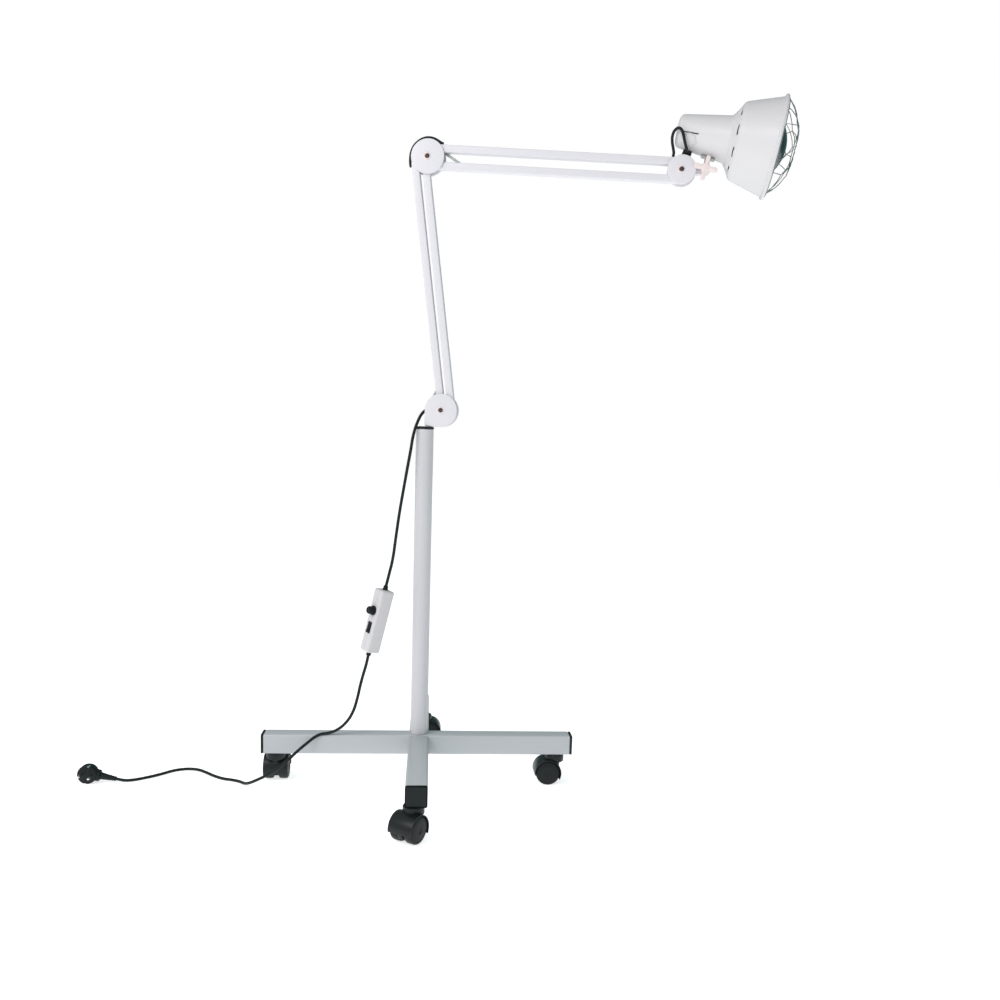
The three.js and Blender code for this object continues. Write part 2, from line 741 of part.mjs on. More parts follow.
function addElbow(arm) {
  const joint = groupAt(arm, elbowHub.x, 0, elbowHub.y);
  joint.name = "elbow_joint";
  const leftPlace = groupAt(joint, elbowLeftPin.x, 0, elbowLeftPin.y);
  leftPlace.name = "elbow_pivot";
  const front = solidOf(roundPlate(jointPlateRadius));
  const rear = solidOf(roundPlate(jointPlateRadius).rotateZ(halfTurn));
  const pins = [elbowLeftPin, elbowRightPin, topPin, bottomPin];
  const [frontPlate, rearPlate] = platePair(front, rear, pins);
  piece(joint, "elbow_plate_front", frontPlate, armPaint);
  piece(joint, "elbow_plate_rear", rearPlate, armPaint);
  piece(joint, "elbow_bolt", jointBolt(), darkSteel);
  piece(joint, "elbow_lead", elbowLead(), blackRubber);
}

// The lead lies round the rim of the elbow plates, from the left tube to the top tube
function elbowLead() {
  const route = elbowLeadRoute.map(([x, z]) => [x, 0, z]);
  return tubeAlong(route, leadDiameter, leadStepLength);
}

function addUpperArm(arm) {
  const tubes = [
    ["upper_tube_top", topPin, [{ ...topBarSlot, side: -1 }]],
    ["upper_tube_bottom", bottomPin, [{ ...upperSlot, side: 1 }]],
  ];
  for (const [name, pin, slots] of tubes) {
    const place = elbowHub.clone().add(pin);
    const tube = groupAt(arm, place.x, 0, place.y);
    tube.name = name + "_pivot";
    tube.rotation.y = upperDrop;
    piece(tube, name, armTube(upperBarLength, ...slots), armPaint);
    if (pin === bottomPin) {
      piece(tube, "upper_balance_spring", balanceSpring(), zincSteel);
    } else {
      const link = geometryOf(flatLink(upperLinkLength));
      link.rotateY(THREE.MathUtils.degToRad(upperLinkDegrees));
      piece(tube, "upper_link", link, zincSteel);
    }
  }
}

// Head joint: plates on the tube ends, and a knuckle that reaches out to the clamp
function knuckle() {
  const half = knuckleThickness / 2;
  const wide = plateInner - seatGap;
  const bar = boxAt(0, knuckleReach, -half, half, -knuckleHubRadius, knuckleHubRadius);
  const hub = rodAlongY(knuckleHubRadius, -wide, wide, 24);
  const eye = rodAlongY(knucklePivotRadius, -half, half, 24, knuckleReach, 0);
  const hubHole = rodAlongY(jointBoltDiameter / 2 + seatGap, -barSize, barSize, 16);
  const eyeHole = rodAlongY(pivotBoltDiameter / 2 + seatGap, -barSize, barSize, 16, knuckleReach, 0);
  return carve(join(bar, hub, eye), hubHole, eyeHole);
}

function addHeadJoint(arm) {
  const joint = groupAt(arm, headHub.x, 0, headHub.y);
  joint.name = "head_joint";
  const pinPlace = groupAt(joint, headTopPin.x, 0, headTopPin.y);
  pinPlace.name = "head_joint_pivot";
  const front = solidOf(roundPlate(headPlateRadius));
  const rear = solidOf(roundPlate(headPlateRadius).rotateZ(halfTurn));
  const [frontPlate, rearPlate] = platePair(front, rear, [headTopPin, headBottomPin]);
  piece(joint, "head_plate_front", frontPlate, armPaint);
  piece(joint, "head_plate_rear", rearPlate, armPaint);
  piece(joint, "head_joint_bolt", jointBolt(), darkSteel);
  piece(joint, "knuckle", knuckle(), armPaint);
  piece(joint, "head_lead", tubeAlong(headLeadRoute, leadDiameter, leadStepLength), blackRubber);
}

// Head: the frame is at the tilt pivot, +X along the lamp's axis towards the mouth
function neckRadiusAt(depth) {
  const share = (depth - neckFrontDepth) / (neckBackDepth - neckFrontDepth);
  return neckFrontDiameter / 2 + (neckBackDiameter / 2 - neckFrontDiameter / 2) * share;
}

function clampFork() {
  const legOuter = forkOuterFace();
  const legInner = legOuter - forkWall;
  const slope = Math.atan2(
    (neckFrontDiameter - neckBackDiameter) / 2,
    neckBackDepth - neckFrontDepth,
  );
  const plateTop = pivotBelowAxis - neckRadiusAt(pivotBehindRim) - seatGap;
  const half = forkPlateLength / 2;
  const plate = boxAt(-half, half, -legOuter, legOuter, -forkWall, 0);
  plate.rotateY(slope).translate(0, 0, plateTop);
  const leg = (side) => {
    const shape = new THREE.Shape();
    shape.absarc(0, 0, forkLegWidth / 2, halfTurn, 2 * halfTurn, false);
    shape.lineTo(forkLegWidth / 2, plateTop - forkWall / 2);
    shape.lineTo(-forkLegWidth / 2, plateTop - forkWall / 2);
    shape.closePath();
    const y0 = side > 0 ? legInner : -legOuter;
    return plateInXZ(shape, y0, y0 + forkWall, 10);
  };
  const hole = rodAlongY(pivotBoltDiameter / 2 + seatGap, -barSize, barSize, 16);
  return carve(join(plate, leg(-1), leg(1)), hole);
}

function forkOuterFace() {
  return knuckleThickness / 2 + runningGap + forkWall;
}

function pivotBolt() {
  const rear = forkOuterFace() + seatGap;
  const front = plateOuter + knobBoltReach;
  const shank = rodAlongY(pivotBoltDiameter / 2, -front, rear + boltNutHeight / 2, 16);
  const head = rodAlongY(boltNutDiameter / 2, rear, rear + boltNutHeight, 6);
  return join(shank, head);
}

function wingKnob() {
  const back = -forkOuterFace() - runningGap;
  const wingBack = -plateOuter - runningGap;
  const front = wingBack - knobThickness;
  const hub = rodAlongY(knobHubDiameter / 2, front, back, 24);
  const bar = (turn) => {
    const length = 2 * (knobWingReach - knobWingWidth / 2);
    const shape = plateInXZ(stadium(length, knobWingWidth / 2), front + runningGap, wingBack, 8);
    return shape.translate(-length / 2, 0, 0).rotateY(turn);
  };
  const bore = rodAlongY(pivotBoltDiameter / 2 + seatGap, -plateOuter - knobBoltReach - seatGap, 0, 16);
  return carve(join(hub, bar(0), bar(quarterTurn)), bore);
}

// The shade is turned about its axis; depth counts back from the rim
function headShell() {
  const lip = rimDiameter / 2;
  const mouth = mouthDiameter / 2;
  const shoulder = shoulderDiameter / 2;
  const neckFront = neckFrontDiameter / 2;
  const neckBack = neckBackDiameter / 2;
  const outside = [
    [mouth - shellWall, 0], [lip, 0], [lip, rimLip], [mouth, rimLipDepth], [mouth, mouthDepth],
    [shoulder, shoulderDepth - shoulderRound], [shoulder - shoulderRound / 2, shoulderDepth],
    [neckFront, neckFrontDepth], [neckBack, neckBackDepth],
    [neckBack - neckEndRound / 4, neckBackDepth + neckEndRound / 2],
    [neckBack - neckEndRound, neckBackDepth + neckEndRound], [0, neckBackDepth + neckEndRound],
  ];
  const inside = [
    [0, neckBackDepth + neckEndRound - shellWall],
    [neckBack - neckEndRound, neckBackDepth + neckEndRound - shellWall],
    [neckBack - shellWall - neckEndRound / 4, neckBackDepth + neckEndRound / 2 - shellWall],
    [neckBack - shellWall, neckBackDepth - shellWall], [neckFront - shellWall, neckFrontDepth],
    [shoulder - shoulderRound / 2 - shellWall, shoulderDepth - shellWall],
    [shoulder - shellWall, shoulderDepth - shoulderRound], [mouth - shellWall, mouthDepth],
    [mouth - shellWall, 0],
  ];
  const shell = turnedAboutZ([...outside, ...inside], 36).rotateY(-quarterTurn);
  const slope = Math.atan2(shoulderDepth - neckFrontDepth, shoulder - neckFront);
  const ventDepth = (shoulderDepth + neckFrontDepth) / 2;
  const ventRadius = (shoulder + neckFront) / 2;
  const vents = [];
  for (let i = 0; i < ventCount; i += 1) {
    const angle = ((i + 0.5) / ventCount) * 2 * halfTurn;
    const vent = new THREE.BoxGeometry(legTube, ventLength, ventWidth).rotateY(slope);
    vents.push(vent.translate(-ventDepth, 0, ventRadius).rotateX(angle));
  }
  const louvre = new THREE.BoxGeometry(louvreLength, legTube, louvreWidth);
  louvre.translate(-louvreDepth + louvreLength / 2, -neckBack, louvreRise);
  return carve(solidOf(shell), ...vents, louvre);
}

function lampSocket() {
  const face = socketFaceDepth;
  const back = face + socketLength;
  const body = rodAlongX(socketDiameter / 2, -back, -face, 24);
  const bore = rodAlongX(socketBore / 2, -face - socketBoreDepth, -face + cutOverrun, 20);
  return carve(solidOf(body), bore);
}

function bulb() {
  const radius = bulbDiameter / 2;
  const neck = bulbNeckDiameter / 2;
  const cap = capDiameter / 2;
  const front = bulbEquatorDepth + bulbApex;
  const outside = [[0, -bulbApex]];
  const faceStops = 6;
  for (let i = 1; i <= faceStops; i += 1) {
    const angle = (i / faceStops) * quarterTurn;
    const rise = front * Math.cos(angle) ** bulbFacePower;
    outside.push([radius * Math.sin(angle), bulbEquatorDepth - rise]);
  }
  outside.push([bulbShoulderDiameter / 2, bulbShoulderDepth], [neck, bulbNeckDepth], [cap, bulbCapStart]);
  outside.push([cap, bulbCapEnd - seatGap], [bulbContactDiameter / 2, bulbCapEnd + bulbContactHeight]);
  const inside = outside.slice(1).map(([r, depth]) => [
    r - bulbWall,
    depth < bulbEquatorDepth ? depth + bulbWall : depth,
  ]);
  inside.at(-1)[1] += cutOverrun;
  inside.unshift([0, bulbWall - bulbApex]);
  const hollow = [...inside, [0, inside.at(-1)[1]]];
  const shell = solidOf(turnedAboutZ([...outside, [0, outside.at(-1)[1]]], 28));
  return geometryOf(carve(shell, turnedAboutZ(hollow, 28))).rotateY(-quarterTurn);
}

// The guard: a hoop, two zigzags that share their bends, and a small ring in the middle
function guardPlace(diameter, depth, turn) {
  const angle = turn * 2 * halfTurn;
  const radius = diameter / 2;
  return new THREE.Vector3(depth, radius * Math.sin(angle), radius * Math.cos(angle));
}

// A four-sided wire through the given places and back to the first, mitred at each bend
function closedWire(places) {
  const half = guardWire / 2;
  const corners = [];
  const triangles = [];
  const sides = 4;
  places.forEach((place, i) => {
    const next = (i + 1) % places.length;
    const along = places[next].clone().sub(places.at(i - 1)).normalize();
    const leg = places[next].clone().sub(place).normalize();
    const mitre = leg.dot(along);
    const outward = leg.addScaledVector(along, -mitre).normalize();
    if (outward.y * place.y + outward.z * place.z < 0) outward.negate();
    const across = along.clone().cross(outward);
    corners.push(
      place.clone().addScaledVector(outward, half / mitre),
      place.clone().addScaledVector(across, half),
      place.clone().addScaledVector(outward, -half / mitre),
      place.clone().addScaledVector(across, -half),
    );
    for (let k = 0; k < sides; k += 1) {
      const k2 = (k + 1) % sides;
      const here = i * sides;
      const there = next * sides;
      triangles.push(here + k, here + k2, there + k2, here + k, there + k2, there + k);
    }
  });
  const wire = new THREE.BufferGeometry().setFromPoints(corners);
  wire.setIndex(triangles);
  return wire;
}

function guardRing(diameter, depth, count) {
  return closedWire(Array.from({ length: count }, (_, i) => guardPlace(diameter, depth, i / count)));
}

function guardZigzag(outer, inner) {
  const places = [];
  for (let i = 0; i < guardPoints; i += 1) {
    places.push(guardPlace(outer.diameter, outer.depth, (i + outer.turn) / guardPoints));
    places.push(guardPlace(inner.diameter, inner.depth, (i + outer.turn + 0.5) / guardPoints));
  }
  return closedWire(places);
}

function wireGuard() {
  const seat = { diameter: guardSeatDiameter - guardWire, depth: guardWire / 4, turn: 0.25 };
  const middle = { diameter: guardMiddleDiameter, depth: guardMiddleDepth };
  const middleBend = { diameter: guardMiddleDiameter + guardWire, depth: guardMiddleDepth, turn: 0.75 };
  const inner = { diameter: guardInnerDiameter, depth: guardInnerDepth };
  return join(
    guardRing(guardSeatDiameter, 0, 24),
    guardZigzag(seat, middle),
    guardZigzag(middleBend, inner),
    guardRing(guardInnerDiameter, guardInnerDepth, 12),
  );
}

function cableGland() {
  const half = glandLength / 2;
  const top = neckRadiusAt(glandBehindRim - half) + seatGap;
  const width = glandWidth / 2;
  return boxAt(
    -glandBehindRim - half, -glandBehindRim + half, -width, width, -top - glandHeight, -top,
  );
}

function addHead(arm) {
  const head = groupAt(arm, headPivot.x, 0, headPivot.y);
  head.name = "head_tilt_pivot";
  head.rotation.y = headTilt;
  piece(head, "clamp_fork", clampFork(), zincSteel);
  piece(head, "pivot_bolt", pivotBolt(), zincSteel);
  const knob = piece(head, "wing_knob", wingKnob(), knobPlastic);
  knob.rotation.y = THREE.MathUtils.degToRad(knobTurnDegrees) - headTilt;
  const lampAxis = groupAt(head, pivotBehindRim, 0, pivotBelowAxis);
  piece(lampAxis, "lamp_housing", headShell(), shadePaint);
  piece(lampAxis, "cable_gland", cableGland(), blackPlastic);
  piece(lampAxis, "lamp_socket", lampSocket(), ceramic);
  piece(lampAxis, "infrared_bulb", bulb(), bulbGlass);
  const guard = piece(lampAxis, "wire_guard", wireGuard(), guardWireMetal);
  guard.position.x = guardWire / 2 + seatGap;
}

// Control box: the frame is at its centre, +Z along it, the knob on its -X face
function boxShell(side) {
  const tall = boxLength / 2;
  const outline = { depth: boxLength, bevelEnabled: false, curveSegments: 3 };
  const whole = new THREE.ExtrudeGeometry(roundedSquare(boxWidth, boxCornerRadius), outline);
  const inside = new THREE.ExtrudeGeometry(
    roundedSquare(boxWidth - 2 * boxWall, boxCornerRadius - boxWall),
    { ...outline, depth: boxLength - 2 * boxWall },
  );
  const otherHalf = boxAt(
    -boxWidth,
    boxWidth,
    side > 0 ? -boxWidth : -seatGap / 2,
    side > 0 ? seatGap / 2 : boxWidth,
    -boxLength,
    boxLength,
  );
  const bushHoles = [-1, 1].map((end) => rodAlongZ(
    bushDiameter / 2 - boxWall + seatGap, -boxLength / 4, boxLength / 4, 16,
  ).translate(0, 0, (end * boxLength) / 2));
  const knobHole = rodAlongX(knobShaftDiameter / 2 + seatGap, -boxWidth, 0, 16, 0, knobPlace);
  const rockerHole = boxAt(
    -boxWidth, 0, -rockerWidth / 2 - seatGap, rockerWidth / 2 + seatGap,
    rockerPlace - rockerLength / 2 - seatGap, rockerPlace + rockerLength / 2 + seatGap,
  );
  const shell = carve(
    solidOf(whole.translate(0, 0, -tall)),
    inside.translate(0, 0, boxWall - tall),
    otherHalf,
  );
  return carve(shell, ...bushHoles, knobHole, rockerHole);
}

function cordBush(end) {
  const tall = boxLength / 2;
  const neck = bushDiameter / 2 - boxWall;
  const bore = cordDiameter / 2;
  const flange = neck + boxWall;
  const inside = tall - 2 * boxWall - seatGap;
  const profile = [
    [0, inside], [flange, inside], [flange, tall - boxWall - seatGap], [neck, tall - boxWall - seatGap],
    [neck, tall + seatGap], [flange, tall + seatGap], [flange - boxWall / 2, tall + bushLength / 2],
    [bore + boxWall / 2, tall + bushLength], [0, tall + bushLength],
  ];
  const bush = turnedAboutZ(profile, 20);
  return end < 0 ? bush.rotateX(halfTurn) : bush;
}

function dimmerKnob() {
  const face = boxWidth / 2 + seatGap;
  const radius = knobDiameter / 2;
  const cap = rodAlongX(radius, -face - knobHeight, -face, 24);
  const shaft = rodAlongX(knobShaftDiameter / 2, -face - knobHeight / 2, -boxWidth / 2 + 2 * boxWall, 16);
  return join(cap, shaft);
}

// The rocker's frame is at its pivot, in the middle of the box wall
function rockerSwitch() {
  const inner = rockerDepthInside;
  const face = -boxWall / 2 - rockerProud;
  const half = rockerLength / 2;
  const crown = half * Math.tan(THREE.MathUtils.degToRad(rockerTurnDegrees));
  const shape = new THREE.Shape();
  shape.moveTo(inner, -half);
  shape.lineTo(inner, half);
  shape.lineTo(face - crown, half);
  shape.lineTo(face, 0);
  shape.lineTo(face - crown, -half);
  shape.closePath();
  return plateInXZ(shape, -rockerWidth / 2, rockerWidth / 2);
}

function addControlBox(lamp) {
  const box = groupAt(lamp, ...boxCentre);
  box.rotation.order = "YZX";
  box.rotation.y = THREE.MathUtils.degToRad(boxLeanDegrees);
  box.rotation.z = THREE.MathUtils.degToRad(boxTurnDegrees);
  piece(box, "box_front_shell", boxShell(-1), boxPlastic);
  piece(box, "box_rear_shell", boxShell(1), boxPlastic);
  piece(box, "box_bush_top", cordBush(1), blackRubber);
  piece(box, "box_bush_bottom", cordBush(-1), blackRubber);
  const knob = groupAt(box, 0, 0, knobPlace);
  knob.name = "dimmer_knob_pivot";
  piece(knob, "dimmer_knob", dimmerKnob(), blackPlastic);
  const rocker = groupAt(box, -(boxWidth - boxWall) / 2, 0, rockerPlace);
  rocker.name = "rocker_pivot";
  rocker.rotation.y = THREE.MathUtils.degToRad(rockerTurnDegrees);
  piece(rocker, "rocker_switch", rockerSwitch(), blackPlastic);
}

// Plug: lies on the floor on its rim, with the pins towards the viewer and the cord at the side
function mainsPlug() {
  const radius = plugDiameter / 2;
  const half = plugThickness / 2;
  const body = rodAlongY(radius, -half, half, 32);
  const pins = [-1, 1].map((side) => rodAlongY(
    plugPinDiameter / 2, -half - plugPinLength, 0, 12, side * plugPinSpacing / 2, 0,
  ));
  const relief = new THREE.CylinderGeometry(
    plugReliefRoot / 2, plugReliefTip / 2, plugReliefLength, 16,
  ).rotateZ(quarterTurn);
  relief.translate(plugReliefStart + plugReliefLength / 2, 0, 0);
  return join(body, ...pins, relief);
}

function addCord(lamp) {
  piece(lamp, "cord_upper", tubeAlong(upperCordRoute, cordDiameter), blackRubber);
  piece(lamp, "cord_lower", tubeAlong(lowerCordRoute, cordDiameter), blackRubber);
  addControlBox(lamp);
  const plug = piece(lamp, "mains_plug", mainsPlug(), blackRubber);
  plug.position.set(...plugCentre);
  plug.rotation.y = THREE.MathUtils.degToRad(plugTurnDegrees);
}

// The whole lamp, standing with the middle of its footprint over the origin
const lamp = new THREE.Group();
addBase(lamp);
addCasters(lamp);
addPole(lamp);
const arm = groupAt(lamp, 0, 0, 0);
arm.name = "arm_swivel";
arm.rotation.z = THREE.MathUtils.degToRad(armSwivelDegrees);
addLowerJoint(arm);
addLowerArm(arm);
addElbow(arm);
addUpperArm(arm);
addHeadJoint(arm);
addHead(arm);
const standing = new THREE.Box3().setFromObject(lamp, true);
addCord(lamp);
lamp.position.x = -(standing.min.x + standing.max.x) / 2;
lamp.position.y = -(standing.min.y + standing.max.y) / 2;

export default lamp;
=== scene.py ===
import math

import bpy
from mathutils import Matrix, Vector


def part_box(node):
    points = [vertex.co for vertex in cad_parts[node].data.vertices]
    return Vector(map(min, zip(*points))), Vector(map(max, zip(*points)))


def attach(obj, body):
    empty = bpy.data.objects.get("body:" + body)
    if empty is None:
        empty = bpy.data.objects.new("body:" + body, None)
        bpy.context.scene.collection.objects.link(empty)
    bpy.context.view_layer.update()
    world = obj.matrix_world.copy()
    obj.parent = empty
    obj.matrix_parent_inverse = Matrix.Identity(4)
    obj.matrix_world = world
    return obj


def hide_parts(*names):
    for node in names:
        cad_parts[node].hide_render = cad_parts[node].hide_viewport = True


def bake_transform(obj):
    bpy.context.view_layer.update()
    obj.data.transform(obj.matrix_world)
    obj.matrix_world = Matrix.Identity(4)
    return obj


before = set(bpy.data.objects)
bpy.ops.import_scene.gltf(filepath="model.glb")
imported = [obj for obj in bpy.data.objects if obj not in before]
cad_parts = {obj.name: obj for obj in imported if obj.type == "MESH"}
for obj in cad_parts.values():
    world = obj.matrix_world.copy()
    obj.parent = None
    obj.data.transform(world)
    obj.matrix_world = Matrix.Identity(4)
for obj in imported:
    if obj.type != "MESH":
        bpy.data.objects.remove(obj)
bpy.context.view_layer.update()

quarterTurn = math.pi / 2
fullTurn = 2 * math.pi

# Where the pole stands; everything below is placed from its axis
poleLow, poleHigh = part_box("pole")
poleX = (poleLow[0] + poleHigh[0]) / 2
poleY = (poleLow[1] + poleHigh[1]) / 2


def fromPole(x, y, z):
    return Vector((poleX + x, poleY + y, z))


def linked(name, data):
    thing = bpy.data.objects.new(name, data)
    bpy.context.collection.objects.link(thing)
    return thing


# Camera
cameraSettings = {
    "place": (0.0149, -1.89983, 0.67338),
    "heading": -5.02,
    "pitchDown": 7.162,
    "roll": 1.811,
    "lens": 33.815,
    "sensor": 36.0,
    "shift": (-0.0112, 0.0769),
}


def addCamera(settings):
    data = bpy.data.cameras.new("camera")
    data.lens = settings["lens"]
    data.sensor_width = settings["sensor"]
    data.shift_x, data.shift_y = settings["shift"]
    camera = linked("camera", data)
    heading = math.radians(settings["heading"])
    pitch = math.radians(settings["pitchDown"])
    roll = math.radians(settings["roll"])
    flat = math.cos(pitch)
    forward = Vector((-math.sin(heading) * flat, math.cos(heading) * flat, -math.sin(pitch)))
    level = Vector((math.cos(heading), math.sin(heading), 0))
    upright = level.cross(forward)
    right = level * math.cos(roll) + upright * math.sin(roll)
    up = upright * math.cos(roll) - level * math.sin(roll)
    turn = Matrix((right, up, -forward)).transposed().to_4x4()
    camera.matrix_world = Matrix.Translation(fromPole(*settings["place"])) @ turn
    bpy.context.scene.camera = camera


addCamera(cameraSettings)
print("camera placed")


# Hand tools: selection, places, and finishing an object at the origin
def deselectAll():
    if bpy.context.object and bpy.context.object.mode != "OBJECT":
        bpy.ops.object.mode_set(mode="OBJECT")
    for thing in list(bpy.context.selected_objects):
        thing.select_set(False)
    bpy.context.view_layer.objects.active = None


def pick(*things):
    deselectAll()
    for thing in things:
        thing.select_set(True)
    bpy.context.view_layer.objects.active = things[0]


def nameIt(name):
    thing = bpy.context.object
    thing.name = name
    thing.data.name = name
    return thing


def settle(thing, place=None):
    pick(thing)
    bpy.ops.object.transform_apply(location=True, rotation=True, scale=True)
    if place is not None:
        thing.matrix_world = place
        bpy.ops.object.transform_apply(location=True, rotation=True, scale=True)
    return thing


def turned(thing, *angles):
    thing.rotation_euler = angles
    return settle(thing)


def shifted(thing, place):
    thing.location = place
    return settle(thing)


def smooth(thing, angle=35):
    pick(thing)
    bpy.ops.object.shade_smooth_by_angle(angle=math.radians(angle))
    return thing


def applyAll(thing):
    pick(thing)
    for modifier in list(thing.modifiers):
        bpy.ops.object.modifier_apply(modifier=modifier.name)
    return thing


def bevelEdges(thing, width, segments=3, angle=30):
    modifier = thing.modifiers.new("bevel", "BEVEL")
    modifier.width = width
    modifier.segments = segments
    modifier.limit_method = "ANGLE"
    modifier.angle_limit = math.radians(angle)
    modifier.harden_normals = False
    return applyAll(thing)


def cutOut(thing, *tools):
    for tool in tools:
        modifier = thing.modifiers.new("cut", "BOOLEAN")
        modifier.operation = "DIFFERENCE"
        modifier.solver = "EXACT"
        modifier.object = tool
        applyAll(thing)
        bpy.data.objects.remove(tool, do_unlink=True)
    return thing


def joinPieces(name, *pieces):
    pick(*pieces)
    bpy.ops.object.join()
    return nameIt(name)


def addBlock(name, size, centre=(0, 0, 0)):
    deselectAll()
    bpy.ops.mesh.primitive_cube_add(size=1, location=centre)
    block = nameIt(name)
    block.scale = size
    return settle(block)


def addDrum(name, radius, depth, centre=(0, 0, 0), axis="Z", sides=48):
    deselectAll()
    turn = {"X": (0, quarterTurn, 0), "Y": (-quarterTurn, 0, 0), "Z": (0, 0, 0)}[axis]
    bpy.ops.mesh.primitive_cone_add(
        vertices=sides, radius1=radius, radius2=radius, depth=depth, location=centre, rotation=turn,
    )
    return settle(nameIt(name))


# Points on a circle's arc, as pairs
def arcPoints(radius, start, sweep, count, centre=0.0):
    angles = [start + sweep * i / count for i in range(count + 1)]
    return [(centre + radius * math.cos(a), radius * math.sin(a)) for a in angles]


# How closely a spun mesh's points are merged, and how finely curves are drawn
meshSettings = {"closeGap": 1e-6, "mergeGap": 2e-6, "startSize": 0.01, "curveSteps": 6, "curveSides": 6}


# The profile is pairs of radius and height, spun round Z
def spinProfile(name, profile, steps=64, closed=False):
    deselectAll()
    bpy.ops.mesh.primitive_plane_add(size=meshSettings["startSize"])
    spun = nameIt(name)
    bpy.ops.object.mode_set(mode="EDIT")
    bpy.ops.mesh.select_mode(type="VERT")
    bpy.ops.mesh.select_all(action="SELECT")
    bpy.ops.mesh.merge(type="CENTER")
    bpy.ops.transform.translate(value=(profile[0][0], 0, profile[0][1]))
    last = profile[0]
    for radius, height in profile[1:]:
        bpy.ops.mesh.extrude_region_move(
            TRANSFORM_OT_translate={"value": (radius - last[0], 0, height - last[1])}
        )
        last = (radius, height)
    bpy.ops.mesh.select_all(action="SELECT")
    if closed:
        bpy.ops.mesh.remove_doubles(threshold=meshSettings["closeGap"])
        bpy.ops.mesh.select_all(action="SELECT")
    bpy.ops.mesh.spin(steps=steps, angle=fullTurn, center=(0, 0, 0), axis=(0, 0, 1))
    bpy.ops.mesh.select_all(action="SELECT")
    bpy.ops.mesh.remove_doubles(threshold=meshSettings["mergeGap"])
    bpy.ops.mesh.normals_make_consistent(inside=False)
    bpy.ops.object.mode_set(mode="OBJECT")
    return spun


def alongPath(name, points, diameter):
    data = bpy.data.curves.new(name, "CURVE")
    data.dimensions = "3D"
    spline = data.splines.new("BEZIER")
    spline.bezier_points.add(len(points) - 1)
    for knot, point in zip(spline.bezier_points, points):
        knot.co = point
        knot.handle_left_type = "AUTO"
        knot.handle_right_type = "AUTO"
    spline.resolution_u = meshSettings["curveSteps"]
    data.bevel_depth = diameter / 2
    data.bevel_resolution = meshSettings["curveSides"]
    data.use_fill_caps = True
    return linked(name, data)


def asMesh(lead):
    pick(lead)
    bpy.ops.object.convert(target="MESH")
    return smooth(bpy.context.object, 60)


# Materials: one shared finish group, used in every material with its own values
# The pale colour mixed onto upward faces is dust and painted light from above
finishDefaults = {
    "patchDetail": 4, "grainDetail": 3, "bumpDistance": 0.0002, "topLightAndDustColour": (0.80, 0.82, 0.83, 1),
    "coatRoughness": 0.15,
}


def makeFinishGroup():
    group = bpy.data.node_groups.new("surfaceFinish", "ShaderNodeTree")
    face = group.interface
    face.new_socket("Colour", in_out="INPUT", socket_type="NodeSocketColor")
    for name, value in (
        ("Tint", 0.04), ("Patch Scale", 6.0), ("Grain Scale", 900.0), ("Grain Depth", 0.15),
        ("Roughness", 0.4), ("Roughness Spread", 0.08), ("Top Light And Dust", 0.0),
    ):
        face.new_socket(name, in_out="INPUT", socket_type="NodeSocketFloat").default_value = value
    face.new_socket("Colour", in_out="OUTPUT", socket_type="NodeSocketColor")
    face.new_socket("Roughness", in_out="OUTPUT", socket_type="NodeSocketFloat")
    face.new_socket("Normal", in_out="OUTPUT", socket_type="NodeSocketVector")
    nodes, links = group.nodes, group.links
    inside = nodes.new("NodeGroupInput")
    outside = nodes.new("NodeGroupOutput")
    place = nodes.new("ShaderNodeTexCoord")
    patch = nodes.new("ShaderNodeTexNoise")
    patch.inputs["Detail"].default_value = finishDefaults["patchDetail"]
    grain = nodes.new("ShaderNodeTexNoise")
    grain.inputs["Detail"].default_value = finishDefaults["grainDetail"]
    links.new(place.outputs["Object"], patch.inputs["Vector"])
    links.new(place.outputs["Object"], grain.inputs["Vector"])
    links.new(inside.outputs["Patch Scale"], patch.inputs["Scale"])
    links.new(inside.outputs["Grain Scale"], grain.inputs["Scale"])
    centred = nodes.new("ShaderNodeMath")
    centred.operation = "SUBTRACT"
    centred.inputs[1].default_value = 0.5
    links.new(patch.outputs["Fac"], centred.inputs[0])
    tint = nodes.new("ShaderNodeMath")
    tint.operation = "MULTIPLY_ADD"
    tint.inputs[2].default_value = 1.0
    links.new(centred.outputs[0], tint.inputs[0])
    links.new(inside.outputs["Tint"], tint.inputs[1])
    shade = nodes.new("ShaderNodeHueSaturation")
    links.new(inside.outputs["Colour"], shade.inputs["Color"])
    links.new(tint.outputs[0], shade.inputs["Value"])
    # dust, and painted top light: a pale colour mixed in where the surface faces up, so upward faces come out
    # lighter as if lit from above
    normal = nodes.new("ShaderNodeNewGeometry")
    split = nodes.new("ShaderNodeSeparateXYZ")
    links.new(normal.outputs["Normal"], split.inputs[0])
    upward = nodes.new("ShaderNodeMath")
    upward.operation = "MULTIPLY"
    upward.use_clamp = True
    links.new(split.outputs["Z"], upward.inputs[0])
    links.new(inside.outputs["Top Light And Dust"], upward.inputs[1])
    topLitAndDusty = nodes.new("ShaderNodeMix")
    topLitAndDusty.data_type = "RGBA"
    topLitAndDusty.inputs["B"].default_value = finishDefaults["topLightAndDustColour"]
    links.new(upward.outputs[0], topLitAndDusty.inputs["Factor"])
    links.new(shade.outputs["Color"], topLitAndDusty.inputs["A"])
    links.new(topLitAndDusty.outputs["Result"], outside.inputs["Colour"])
    rough = nodes.new("ShaderNodeMath")
    rough.operation = "MULTIPLY_ADD"
    links.new(centred.outputs[0], rough.inputs[0])
    links.new(inside.outputs["Roughness Spread"], rough.inputs[1])
    links.new(inside.outputs["Roughness"], rough.inputs[2])
    links.new(rough.outputs[0], outside.inputs["Roughness"])
    bump = nodes.new("ShaderNodeBump")
    bump.inputs["Distance"].default_value = finishDefaults["bumpDistance"]
    links.new(inside.outputs["Grain Depth"], bump.inputs["Strength"])
    links.new(grain.outputs["Fac"], bump.inputs["Height"])
    links.new(bump.outputs["Normal"], outside.inputs["Normal"])
    return group


finishGroup = makeFinishGroup()


